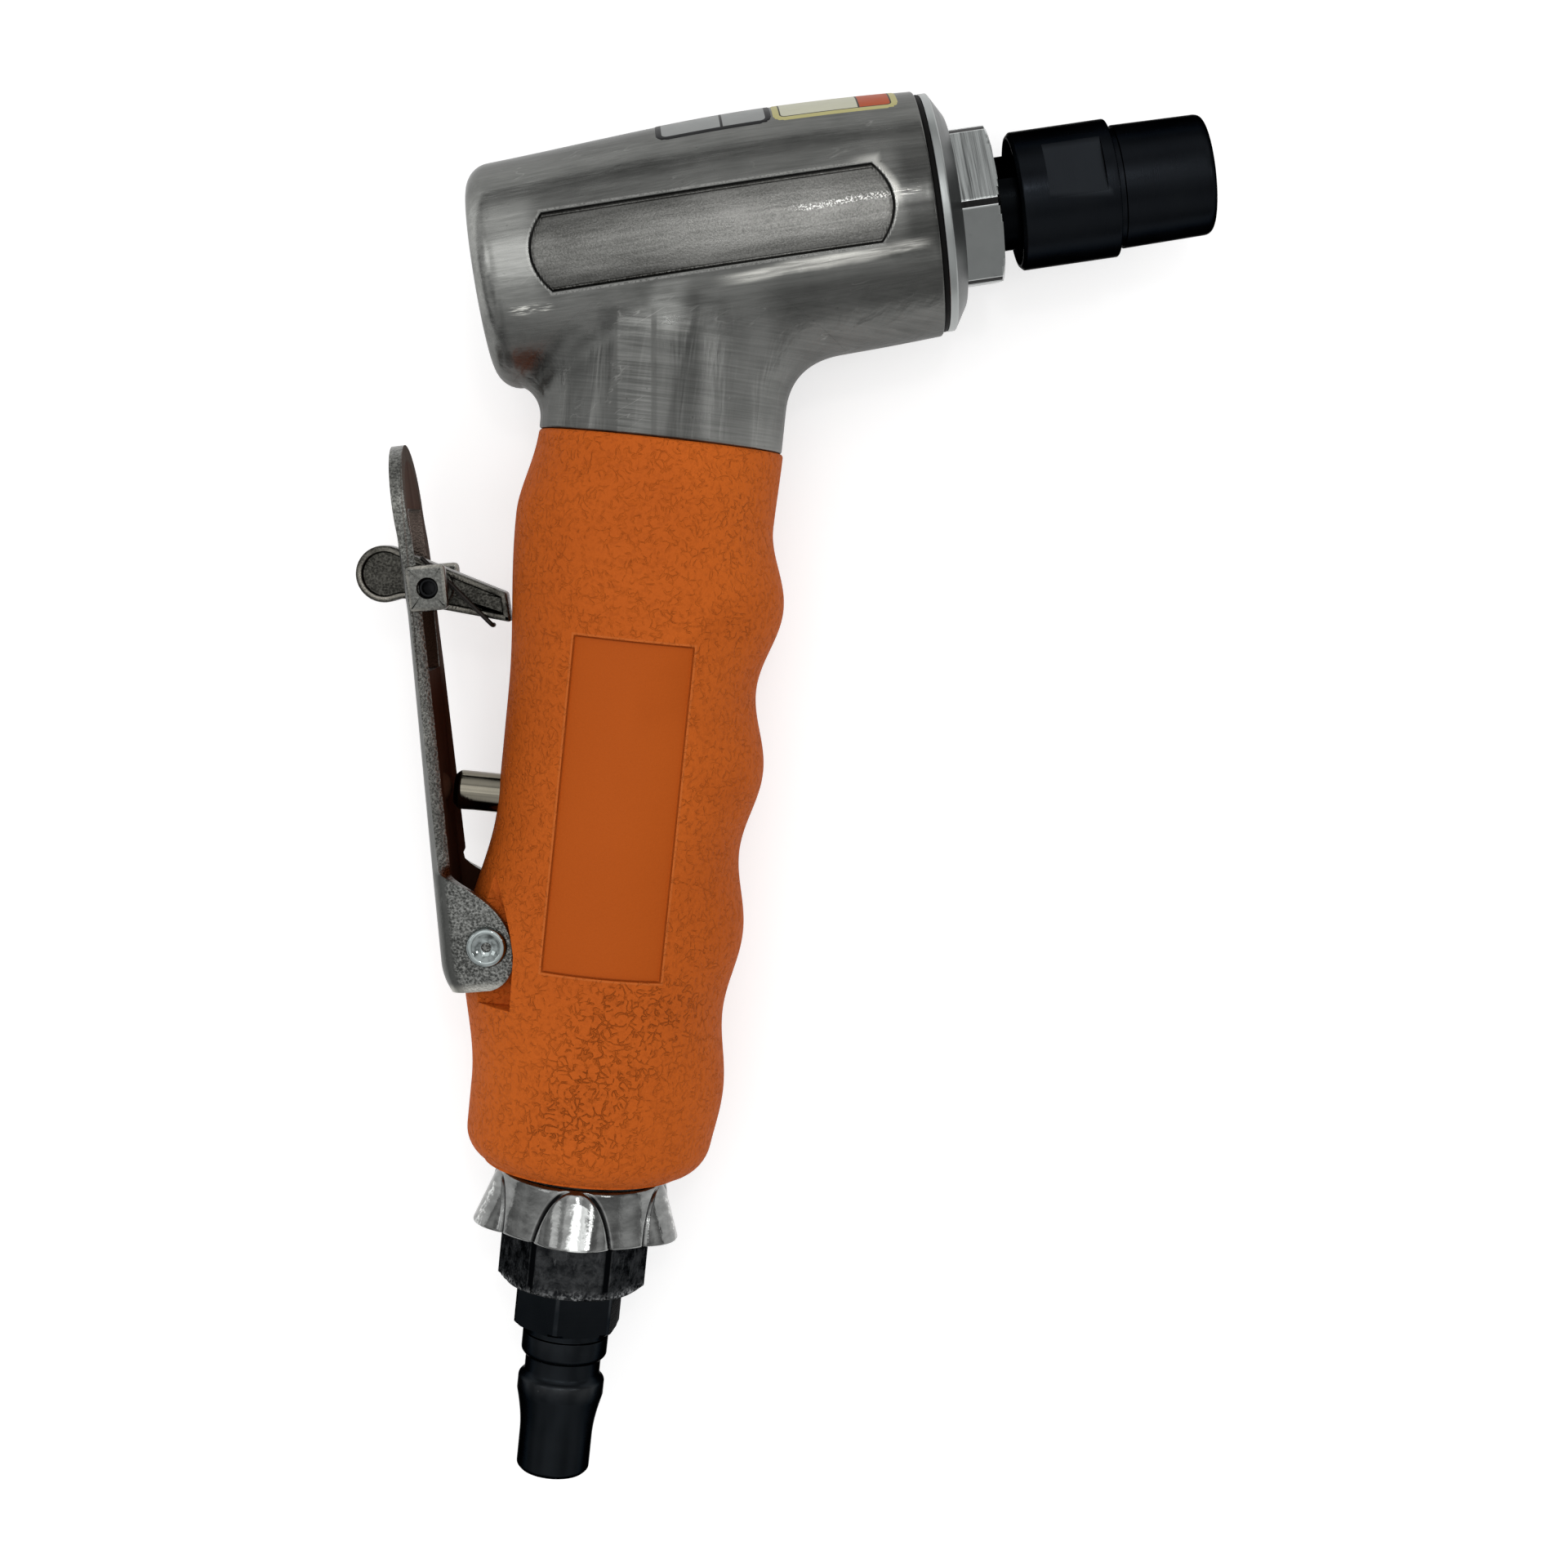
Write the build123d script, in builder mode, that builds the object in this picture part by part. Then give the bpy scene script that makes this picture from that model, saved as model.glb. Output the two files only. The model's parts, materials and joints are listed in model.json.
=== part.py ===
from build123d import *
import os
from math import acos, atan2, cos, degrees, dist, pi, radians, sin, sqrt, tan

os.makedirs("parts", exist_ok=True)

# An air die grinder of pistol layout, lying on its side on a bench, in millimetres with +Z up.
# The handle runs along Y with the hose plug at -Y. The spindle leaves the head towards +X and
# leans up from the square by head_tilt. Both axes cross at the point called cross, in the middle plane.

# Head: a barrel about the spindle axis, measured along that axis from the crossing
head_tilt = 14.4
head_back = 27.0
head_front = 35.5
head_fattest = 14.0
motor_r = 14.0
head_wall_back = 1.5
head_wall = 3.4
head_wall_front = 2.75
head_round = 3.6
back_wall = 4.5

# Long sunk panel on both cheeks of the head
panel_start = -16.6
panel_end = 27.8
panel_low = -4.6
panel_high = 6.0
panel_bulge = 2.3
panel_depth = 0.6

# Neck between head and grip, and the round core that the grip is moulded on
seam_y = -26.2
neck_wall_back = 1.7
neck_wall_front = 3.65
neck_wall_side = 1.7
neck_spread_back = 3.2
neck_spread_front = 9.5
neck_rise = 13.5
core_step = 0.2
core_recess = 0.5
spigot_r = 9.5
spigot_past = 0.4

# Grip sleeve: four finger swells in front, a palm swell and a heel swell behind
grip_bottom = -130.0
grip_wall_side = 3.0
grip_wall_front = 3.6
grip_wall_back = 2.8
grip_step = 0.25
grip_round = 4.6
finger_first = -48.1
finger_pitch = 23.15
finger_swell = 2.65
finger_fade = 0.02
palm_y = -39.0
palm_span = 24.0
palm_swell = 1.3
heel_y = -99.0
heel_span = 20.0
heel_swell = 3.0
plate_width = 16.4
plate_top = -53.7
plate_bottom = -100.0
plate_offset = 0.5
plate_depth = 0.35
plate_corner = 0.8

# Motor parts, along the spindle axis
washer_thick = 0.6
washer_height = 1.2
rear_pocket = 6.5
rear_web = 3.0
cylinder_length = 30.0
cylinder_wall = 3.1
cylinder_offset = 1.0
front_web = 2.2
rotor_clear = 0.3
rotor_gap = 0.5
vane_count = 4
vane_thick = 1.5
vane_depth = 5.6
vane_side_gap = 0.05
vane_tip_gap = 0.1
dowel_r = 1.0
dowel_inset = 1.6
dowel_reach = 1.6

# Ball bearings: how far they lie inside the bore, their balls and widths
rear_bearing_inset = 4.5
rear_ball_r = 1.25
rear_bearing_width = 6.0
front_bearing_inset = 1.2
front_ball_r = 1.9
front_bearing_width = 8.0
race_wall = 1.7
ball_gap = 0.3
ball_count = 8
cage_thick = 0.9

# Clamp nut that closes the head, with the black seal under its flange
seal_thick = 0.8
seal_inset = 0.55
flange_thick = 3.0
flange_inset = 0.65
flange_rim = 1.2
flange_shoulder = 1.0
flange_round = 0.35
clamp_hex = 21.0
clamp_corner_r = 11.75
clamp_hex_length = 5.5
holder_gap = 0.65
clamp_edge = 0.5
clamp_turn = 33.5
skirt_relief = 1.0

# Collet holder, collet and collet nut
holder_r = 6.45
holder_past = 1.6
holder_bore = 3.4
holder_flat = 11.0
holder_flat_length = 3.4
holder_flat_gap = 0.4
holder_flat_turn = 56.0
stud_step = 1.0
stud_length = 8.5
shank_r = 3.0
collet_in = 3.6
collet_back_r = 3.9
collet_mouth_r = 5.3
collet_sink = 3.3
collet_front_r = 4.2
collet_slots = 3
collet_slot = 0.8
collet_ease = 0.05
collet_root = 4.0
nut_gap = 2.1
nut_rear = 14.5
nut_nose = 13.5
nut_shoulder = 1.02
nut_taper = 0.2
nut_tip_land = 2.05
nut_chamfer = 0.5
nut_cup = 2.6
nut_cup_wall = 0.85
nut_round = 1.3
nut_groove = 0.35
nut_groove_width = 0.9
nut_mouth_r = 4.9
nut_flat = 17.2
nut_flat_in = 4.8
nut_flat_length = 8.0
nut_flat_turn = 17.0

# Throttle lever, turning on a pin across the heel of the handle
pivot_out = 1.6
pivot_y = -98.2
lever_tilt = 10.75
lever_face = 6.75
lever_thick = 1.8
lever_foot = -6.2
lever_bend = 2.3
lever_half = 11.0
lever_taper_start = 12.0
lever_corner = 1.4
ear_thick = 1.8
ear_reach = 3.6
ear_top = 10.4
ear_gap = 0.5
pocket_gap = 0.6
pin_r = 2.0
pin_head_r = 2.85
pin_head = 0.9
pin_dish_r = 1.5
pin_dish = 0.35
pin_play = 0.05
lug_half = 5.5
lug_gap = 0.35
boss_r = 2.4
boss_rise = 1.07
boss_gap = 0.35

# Top of the lever, measured from the height of the latch's pin
latch_up = 50.0
bend_below = 3.7
slot_below = 11.5
slot_above = 11.0
slot_gap = 0.5
round_above = 12.0
tip_above = 20.0
tab_below = 3.1
tab_above = 3.2
tab_gap = 0.25
tab_reach = 1.1
tab_corner = 1.0

# Safety latch on its own pin in the lever, with a wound spring beside it
latch_in = 3.6
latch_droop = 9.0
latch_half = 2.5
latch_pin_r = 1.35
latch_pin_bore = 0.8
latch_pin_sink = 0.7
latch_boss_r = 2.75
thumb_back = 7.1
thumb_r = 3.95
arm_gap = 0.3
arm_half = 1.95
arm_tip_back = 1.6
latch_rim = 0.75
latch_sink = 0.9
spring_wire = 0.65
spring_coil_r = 2.15
spring_turns = 2.0
spring_pitch = 1.35
spring_start = 59.6
spring_side_gap = 0.1
spring_leg = 9.0
spring_hook_r = 0.6
spring_hook = 1.6
spring_foot = 4.0

# Throttle valve across the handle
valve_y = -77.9
stem_r = 2.8
stem_travel = 2.55
stem_edge = 0.8
stem_play = 0.05
stem_hole_gap = 0.6
bush_step = 0.6
bush_sink = 1.2
bush_length = 6.0
bush_flange = 1.2
ring_wire = 0.9
ring_gap = 0.35
neck_lead = 3.2
stem_neck_r = 1.6
seat_in = 10.0
seat_thick = 1.6
seat_bore = 2.6
seat_gap = 0.3
poppet_thick = 1.2
poppet_pad = 1.0
poppet_gap = 0.9
tail_r = 1.2
tail_gap = 0.35
cap_sink = 1.6
cap_length = 2.4
cap_step = 1.0
cap_key = 4.0
cap_key_depth = 1.4
valve_coil_r = 3.0
valve_wire = 0.6
valve_turns = 3.5
valve_coil_gap = 0.1
inlet_bore = 4.6
inlet_drop = 12.1
feed_r = 2.3
feed_lag = 5.4
outlet_r = 2.6
outlet_lead = 3.6
exhaust_r = 2.6
exhaust_z = 9.6

# Exhaust deflector ring, hose bushing and quick plug at the foot of the handle
deflector_gap = 0.5
deflector_height = 8.5
deflector_play = 0.05
deflector_cavity = 0.65
deflector_flare = 1.4
deflector_wall = 0.9
deflector_hub = 1.0
deflector_floor = 1.6
lobe_count = 5
lobe_r = 6.5
lobe_sink = 0.2
lobe_swell = 1.5
vent_r = 0.65
vent_count = 5
vent_step = 13.0
felt_length = 18.0
felt_gap = 0.1
bushing_hex = 19.0
bushing_corner_r = 10.6
bushing_length = 8.2
bushing_edge = 1.1
bushing_thread_r = 6.0
bushing_thread = 20.0
bushing_bore = 4.0
strainer_thick = 1.2
strainer_hole = 0.75
strainer_circle = 2.3
plug_thread_r = 5.0
plug_thread = 9.0
plug_hex = 14.0
plug_corner_r = 7.9
plug_hex_length = 6.3
plug_edge = 0.7
plug_turn = 21.0
plug_collar_r = 6.2
plug_neck_r = 5.75
plug_collar_start = 7.6
plug_collar_length = 3.4
plug_groove_r = 5.45
plug_groove_length = 3.1
plug_ridge_r = 6.25
plug_ridge_length = 2.2
plug_nose_r = 5.27
plug_nose_start = 22.6
plug_length = 28.2
plug_bore = 3.3

# Radii of the head and of what it holds, from the bore outwards and inwards
head_r_back = motor_r + head_wall_back
head_r = motor_r + head_wall
head_r_front = motor_r + head_wall_front
flange_r = head_r_front - flange_inset
cylinder_bore = motor_r - cylinder_wall
rotor_r = cylinder_bore - cylinder_offset - rotor_clear
dowel_circle = motor_r - dowel_inset
race_room = 2 * (race_wall + ball_gap)
rear_bearing_r = motor_r - rear_bearing_inset
front_bearing_r = motor_r - front_bearing_inset
rear_shaft_r = rear_bearing_r - 2 * rear_ball_r - race_room
front_shaft_r = front_bearing_r - 2 * front_ball_r - race_room
stud_r = front_shaft_r - stud_step
clamp_bore = holder_r + holder_gap

# Places along the spindle axis, from the back of the bore to the tip of the collet nut
bore_back = back_wall - head_back
rear_plate_start = bore_back + washer_height
rear_bearing_start = rear_plate_start + rear_pocket - rear_bearing_width
cylinder_start = rear_plate_start + rear_pocket + rear_web
cylinder_end = cylinder_start + cylinder_length
front_bearing_start = cylinder_end + front_web
front_bearing_end = front_bearing_start + front_bearing_width
seal_end = head_front + seal_thick
flange_end = seal_end + flange_thick
clamp_end = flange_end + clamp_hex_length
nut_back = clamp_end + nut_gap
nut_step = nut_back + nut_rear
nut_front = nut_step + nut_nose
nut_tip_r = nut_mouth_r + nut_tip_land + nut_round
nut_nose_r = nut_tip_r + nut_taper
nut_r = nut_nose_r + nut_shoulder
collet_back = nut_back + collet_in
collet_front = nut_front - collet_sink
holder_end = nut_step + holder_past

# Radii of the handle, whose core is about as thick as the motor
core_r = motor_r + core_step
neck_back = core_r + neck_wall_back
neck_front = core_r + neck_wall_front
neck_half = core_r + neck_wall_side
grip_half = core_r + grip_wall_side
grip_valley = core_r + grip_wall_front
grip_back_flat = core_r + grip_wall_back
pivot_x = -core_r - pivot_out

# Levels down the handle, from the grip's foot to the end of the plug
core_bottom = grip_bottom + core_recess
deflector_top = grip_bottom - deflector_gap
deflector_bottom = deflector_top - deflector_height
spigot_bottom = deflector_bottom - spigot_past
plug_top = spigot_bottom - bushing_length
inlet_end = valve_y - inlet_drop

# Radii and places of the valve, whose stem ends just short of the boss on the lever
chamber_r = stem_r + stem_play + 2 * ring_wire + ring_gap
bush_r = chamber_r - bush_step
poppet_r = chamber_r - poppet_gap
cap_r = chamber_r + cap_step
bush_start = bush_sink - core_r
bush_end = bush_start + bush_length
cap_start = core_r - cap_sink - cap_length
seat_start = cap_start - seat_in
neck_start = seat_start - neck_lead
outlet_x = seat_start - outlet_lead
feed_x = seat_start + feed_lag
pad_start = seat_start + seat_thick + seat_gap
pad_end = pad_start + poppet_pad
poppet_end = pad_end + poppet_thick
tail_length = cap_start - poppet_end - stem_travel - tail_gap
lean = radians(lever_tilt)
lever_in = lever_thick - lever_face
boss_in = lever_in + boss_rise - boss_r
boss_up = (valve_y - pivot_y - boss_in * sin(lean)) / cos(lean)
stem_tip = pivot_x + boss_in * cos(lean) - boss_up * sin(lean) + boss_r + boss_gap
lug_reach = -lever_in - lug_gap

# Widths of the lever's top, which takes in the latch and its spring
leg_drop = spring_leg * spring_pitch / (2 * pi * spring_coil_r)
spring_low = latch_half + spring_side_gap + spring_wire / 2 + leg_drop
foot_rise = spring_foot * spring_pitch / (2 * pi * spring_coil_r)
spring_high = spring_low + spring_turns * spring_pitch + foot_rise + spring_wire / 2
tab_in = spring_high + tab_gap
lever_top_half = tab_in + ear_thick
slot_half = tab_in - slot_gap
ear_in = lever_half - ear_thick
bend_at = latch_up - bend_below
lever_tip = latch_up + tip_above
tab_low = latch_up - tab_below
tab_high = latch_up + tab_above

# The crossing point, set so that the whole tool is centred over the origin and stands on z = 0
tilt = radians(head_tilt)
nut_edge = nut_tip_r - nut_round
reach_right = (nut_front - nut_round) * cos(tilt) + nut_edge * sin(tilt) + nut_round
reach_up = (nut_front - nut_round) * sin(tilt) + nut_edge * cos(tilt) + nut_round
droop = radians(latch_droop)
latch_x = pivot_x - latch_in * cos(lean) - latch_up * sin(lean)
latch_y = pivot_y - latch_in * sin(lean) + latch_up * cos(lean)
reach_left = latch_x - thumb_back * cos(droop) - thumb_r
reach_down = plug_top - plug_length
half_depth = max(grip_half, head_r - panel_depth)
cross = (-(reach_left + reach_right) / 2, -(reach_up + reach_down) / 2, half_depth)

# Working planes. SIDE holds x to the front and y up the handle; the others have x along an axis.
SIDE = Plane(origin=cross, x_dir=(1, 0, 0), z_dir=(0, 0, 1))
HEAD = Plane(origin=cross, x_dir=(cos(tilt), sin(tilt), 0), z_dir=(0, 0, 1))
HANDLE = Plane(origin=cross, x_dir=(0, 1, 0), z_dir=(0, 0, 1))
VALVE = Plane(origin=SIDE.from_local_coords((0, valve_y, 0)), x_dir=(1, 0, 0), z_dir=(0, 0, 1))
LEVER = Plane(
    origin=SIDE.from_local_coords((pivot_x, pivot_y, 0)),
    x_dir=(cos(lean), sin(lean), 0),
    z_dir=(0, 0, 1),
)
LATCH = Plane(
    origin=LEVER.from_local_coords((-latch_in, latch_up, 0)),
    x_dir=(cos(droop), -sin(droop), 0),
    z_dir=(0, 0, 1),
)


def outline(plane, *points):
    """A flat face on a plane, bounded by straight lines through the points."""
    with BuildSketch(plane) as face:
        with BuildLine():
            Polyline(*points, close=True)
        make_face()
    return face.sketch


def spun(plane, *points, mode=Mode.ADD):
    """A solid turned about the x axis of a plane from an outline of (place, radius) points."""
    revolve(outline(plane, *points), axis=Axis(plane.origin, plane.x_dir), mode=mode)


def ring(plane, start, end, outer, inner=0.0, mode=Mode.ADD):
    """A plain ring, or a rod if it has no inner radius, along the x axis of a plane."""
    spun(plane, (start, inner), (end, inner), (end, outer), (start, outer), mode=mode)


def across(plane, place, turn=0.0):
    """The plane square to the x axis of a plane at a place along it, turned about that axis."""
    side = plane.y_dir * cos(radians(turn)) + plane.z_dir * sin(radians(turn))
    return Plane(origin=plane.from_local_coords((place, 0, 0)), x_dir=side, z_dir=plane.x_dir)


def hexagon(plane, flats, corner_r):
    """A hexagon milled from round bar: flats with the bar's round left at the corners."""
    with BuildSketch(plane) as face:
        RegularPolygon(radius=flats / 2, side_count=6, major_radius=False)
        Circle(corner_r, mode=Mode.INTERSECT)
    return face.sketch


def disc(plane, out, radius):
    """A round face on a plane, its middle moved out along the plane's x axis."""
    with BuildSketch(plane) as face:
        with Locations((out, 0)):
            Circle(radius)
    return face.sketch


def oval(y, back, front, half):
    """An oval cut across the handle, of four quarter ellipses that meet on the axes."""
    level = Plane(origin=SIDE.from_local_coords((0, y, 0)), x_dir=(1, 0, 0), z_dir=(0, -1, 0))
    with BuildSketch(level) as cut:
        with BuildLine():
            for turn, reach in ((0, front), (90, back), (180, back), (270, front)):
                EllipticalCenterArc((0, 0), reach, half, turn, arc_size=90)
        make_face()
    return cut.sketch


def barrel(inset=0.0):
    """The outline of the head that is turned about the spindle axis, thinner by an inset."""
    back_r, most_r, front_r = head_r_back - inset, head_r - inset, head_r_front - inset
    with BuildSketch(HEAD) as face:
        with BuildLine():
            back = Line((-head_back, 0), (-head_back, back_r - head_round))
            edge = TangentArc(back @ 1, (head_round - head_back, back_r), tangent=back % 1)
            rise = Spline(edge @ 1, (head_fattest, most_r), tangents=[(1, 0.05), (1, 0)])
            fall = Spline(rise @ 1, (head_front, front_r), tangents=[(1, 0), (1, -0.06)])
            Polyline(fall @ 1, (head_front, 0), (-head_back, 0))
        make_face()
    return face.sketch


def hump(distance, span):
    """A smooth swell of height 1 that fades to nothing at its span."""
    return (1 + cos(pi * distance / span)) / 2 if abs(distance) < span else 0.0


def grip_front(y):
    """How far the grip reaches to the front: finger swells one pitch apart, fading downwards."""
    if y > finger_first + finger_pitch / 2:
        return grip_valley
    swell = (1 + cos(2 * pi * (y - finger_first) / finger_pitch)) / 2
    return grip_valley + swell * (finger_swell - finger_fade * (finger_first - y))


def grip_back(y):
    """How far the grip reaches to the back: a palm swell above and a heel swell below."""
    palm = palm_swell * hump(y - palm_y, palm_span)
    return grip_back_flat + palm + heel_swell * hump(y - heel_y, heel_span)


def grip_cuts(inset=0.0):
    """Cuts through the grip from the seam to its foot, a quarter of a finger pitch apart."""
    cuts = [oval(seam_y, neck_back + grip_step - inset, neck_front + grip_step - inset,
                 neck_half + grip_step - inset)]
    place = finger_first + finger_pitch * 3 / 4
    while place > seam_y - finger_pitch / 8:
        place -= finger_pitch / 4
    while place > grip_bottom + finger_pitch / 5:
        cuts.append(oval(place, grip_back(place) - inset, grip_front(place) - inset, grip_half - inset))
        place -= finger_pitch / 4
    foot = grip_front(place) - inset
    cuts.append(oval(grip_bottom, grip_back(grip_bottom) - inset, foot, grip_half - inset))
    return cuts


def coil_path(plane, radius, pitch, turns, start):
    """A wire wound about the z axis of a plane: two arcs to a quarter turn, meeting without a kink."""
    ends = []
    for step in range(round(turns * 4) + 1):
        angle = start + step * pi / 2
        out = plane.x_dir * cos(angle) + plane.y_dir * sin(angle)
        along = plane.y_dir * cos(angle) - plane.x_dir * sin(angle)
        spot = plane.origin + out * radius + plane.z_dir * (pitch * step / 4)
        heading = along * (2 * pi * radius) + plane.z_dir * pitch
        ends.append((spot, heading.normalized()))
    arcs = []
    for (low, leave), (high, arrive) in zip(ends, ends[1:]):
        span = high - low
        pull = span.dot(leave + arrive)
        bend = 2 * (1 - leave.dot(arrive))
        reach = (sqrt(pull**2 + bend * span.dot(span)) - pull) / bend
        first = low + leave * reach
        second = high - arrive * reach
        meet = (first + second) * 0.5
        arcs.append(TangentArc(low, meet, tangent=leave))
        arcs.append(TangentArc(meet, high, tangent=second - first))
    return arcs


def self_gap(path, wire, pitch_length):
    """The least clear space between turns of a wire, measured on points along its path."""
    length = path.length
    count = int(length / (wire / 2))
    spots = [tuple(path @ (step / count)) for step in range(count + 1)]
    apart = int(count * pitch_length / length)
    near = [dist(a, b) for i, a in enumerate(spots) for b in spots[i + apart:]]
    return min(near) - wire


# Sunk panel of the head: straight sides with bulged ends, as deep as panel_depth all over
panel_middle = (panel_low + panel_high) / 2
with BuildPart() as panel_cut:
    with BuildSketch(HEAD):
        with BuildLine():
            low = Line((panel_start, panel_low), (panel_end, panel_low))
            ThreePointArc(low @ 1, (panel_end + panel_bulge, panel_middle), (panel_end, panel_high))
            high = Line((panel_end, panel_high), (panel_start, panel_high))
            ThreePointArc(high @ 1, (panel_start - panel_bulge, panel_middle), low @ 0)
        make_face()
    extrude(amount=2 * head_r, both=True)
    revolve(barrel(panel_depth), axis=Axis(HEAD.origin, HEAD.x_dir), mode=Mode.SUBTRACT)

# Lug of the casting that carries the lever's pin, and the air ways up the handle
with BuildSketch(SIDE) as lug:
    with BuildLine():
        nose = CenterArc((pivot_x, pivot_y), lug_reach, 90, 180)
        Polyline(
            nose @ 1,
            (0, pivot_y - lug_reach - core_r / 4),
            (0, pivot_y + lug_reach + core_r / 4),
            nose @ 0,
        )
    make_face()
lug_outline = lug.sketch
feed = Plane(origin=SIDE.from_local_coords((feed_x, 0, 0)), x_dir=(0, 1, 0), z_dir=(0, 0, 1))
outlet = Plane(origin=SIDE.from_local_coords((outlet_x, 0, 0)), x_dir=(0, 1, 0), z_dir=(0, 0, 1))
exhaust_ways = [
    Plane(origin=SIDE.from_local_coords((0, 0, side)), x_dir=(0, 1, 0), z_dir=(0, 0, 1))
    for side in (-exhaust_z, exhaust_z)
]

# Head, neck and handle core are one casting
with BuildPart() as motor_housing:
    revolve(barrel(), axis=Axis(HEAD.origin, HEAD.x_dir))
    loft([
        oval(seam_y, neck_back, neck_front, neck_half),
        oval(seam_y + neck_rise * 0.35, neck_back + 0.1, neck_front + 0.2, neck_half),
        oval(seam_y + neck_rise * 0.7, neck_back + neck_spread_back * 0.35,
             neck_front + neck_spread_front * 0.35, neck_half),
        oval(seam_y + neck_rise, neck_back + neck_spread_back, neck_front + neck_spread_front, neck_half),
        oval(seam_y + neck_rise * 1.45, neck_back + neck_spread_back * 1.5,
             neck_front + neck_spread_front * 1.4, neck_half - 1),
    ])
    add(panel_cut.part, mode=Mode.SUBTRACT)
    ring(HANDLE, core_bottom, seam_y + neck_rise / 2, core_r)
    ring(HANDLE, spigot_bottom, core_bottom, spigot_r)
    extrude(lug_outline, amount=lug_half, both=True)
    ring(HEAD, bore_back, head_front, motor_r, mode=Mode.SUBTRACT)
    with Locations(LEVER):
        Cylinder(pin_r, 4 * lug_half, mode=Mode.SUBTRACT)
    # Air way: up from the foot, beside the valve, through it and on to the motor
    ring(HANDLE, spigot_bottom, spigot_bottom + bushing_thread, bushing_thread_r, mode=Mode.SUBTRACT)
    ring(HANDLE, spigot_bottom + bushing_thread, inlet_end, inlet_bore, mode=Mode.SUBTRACT)
    ring(feed, inlet_end - feed_x, valve_y, feed_r, mode=Mode.SUBTRACT)
    ring(outlet, valve_y, -motor_r / 2, outlet_r, mode=Mode.SUBTRACT)
    # Cross bore of the valve, widest at the cap
    ring(VALVE, -core_r - 1, bush_end - bush_flange, bush_r, mode=Mode.SUBTRACT)
    ring(VALVE, bush_end - bush_flange, cap_start, chamber_r, mode=Mode.SUBTRACT)
    ring(VALVE, cap_start, core_r + 1, cap_r, mode=Mode.SUBTRACT)
    # Exhaust ways beside the valve, out at the foot of the core
    for way in exhaust_ways:
        ring(way, core_bottom, -motor_r / 2, exhaust_r, mode=Mode.SUBTRACT)
motor_housing.part.label = "motor_housing"
export_step(motor_housing.part, "parts/motor_housing.step")

# Grip sleeve, moulded over the core: bare smooth plates on both sides, ear pockets and stem hole
with BuildPart() as grip_plate:
    with BuildSketch(SIDE):
        with Locations((plate_offset, (plate_top + plate_bottom) / 2)):
            RectangleRounded(plate_width, plate_top - plate_bottom, plate_corner)
    extrude(amount=2 * grip_half, both=True)
    loft(grip_cuts(plate_depth), mode=Mode.SUBTRACT)

pocket_floor = ear_in - ear_gap
pocket_r = ear_reach + pocket_gap
with BuildPart() as ear_pocket:
    with BuildSketch(SIDE.offset(pocket_floor)):
        with BuildLine():
            roof = Line((2 * pivot_x, pivot_y + ear_top + 4), (pivot_x - 1.2, pivot_y + ear_top + 2))
            swing = ThreePointArc(
                roof @ 1, (pivot_x + 1.9, pivot_y + 6.2), (pivot_x + pocket_r - 0.2, pivot_y - 0.5)
            )
            Polyline(
                swing @ 1,
                (pivot_x + pocket_r, pivot_y + lever_foot - 2),
                (2 * pivot_x, pivot_y + lever_foot - 2),
                roof @ 0,
            )
        make_face()
    extrude(amount=grip_half)
    mirror(about=SIDE)

with BuildPart() as grip_sleeve:
    loft(grip_cuts())
    fillet(grip_sleeve.edges().group_by(Axis.Y)[0], grip_round)
    add(grip_plate.part, mode=Mode.SUBTRACT)
    add(ear_pocket.part, mode=Mode.SUBTRACT)
    ring(HANDLE, grip_bottom, seam_y, core_r, mode=Mode.SUBTRACT)
    ring(VALVE, -2 * grip_half, 0, stem_r + stem_hole_gap, mode=Mode.SUBTRACT)
    extrude(lug_outline, amount=lug_half, both=True, mode=Mode.SUBTRACT)
    with Locations(LEVER):
        Cylinder(pin_r, 4 * grip_half, mode=Mode.SUBTRACT)
grip_sleeve.part.label = "grip_sleeve"
export_step(grip_sleeve.part, "parts/grip_sleeve.step")

# Motor stack, from the back of the bore to the front
with BuildPart() as preload_washer:
    spun(
        HEAD,
        (bore_back, motor_r - 0.3),
        (bore_back + washer_thick, motor_r - 0.3),
        (rear_plate_start, rear_bearing_r + 1),
        (rear_plate_start - washer_thick, rear_bearing_r + 1),
    )
preload_washer.part.label = "preload_washer"
export_step(preload_washer.part, "parts/preload_washer.step")

dowel_spot = Plane(
    origin=HEAD.from_local_coords((0, dowel_circle, 0)), x_dir=HEAD.x_dir, z_dir=HEAD.z_dir
)
dowel_start = cylinder_start - dowel_reach
dowel_end = cylinder_end + dowel_reach
rotor_start = cylinder_start + rotor_gap
rotor_end = cylinder_end - rotor_gap

with BuildPart() as rear_end_plate:
    ring(HEAD, rear_plate_start, cylinder_start, motor_r)
    ring(HEAD, rear_plate_start, cylinder_start - rear_web, rear_bearing_r, mode=Mode.SUBTRACT)
    ring(HEAD, rear_plate_start, cylinder_start, rear_shaft_r + 1.2, mode=Mode.SUBTRACT)
    ring(dowel_spot, dowel_start, dowel_end, dowel_r, mode=Mode.SUBTRACT)
rear_end_plate.part.label = "rear_end_plate"
export_step(rear_end_plate.part, "parts/rear_end_plate.step")

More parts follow.
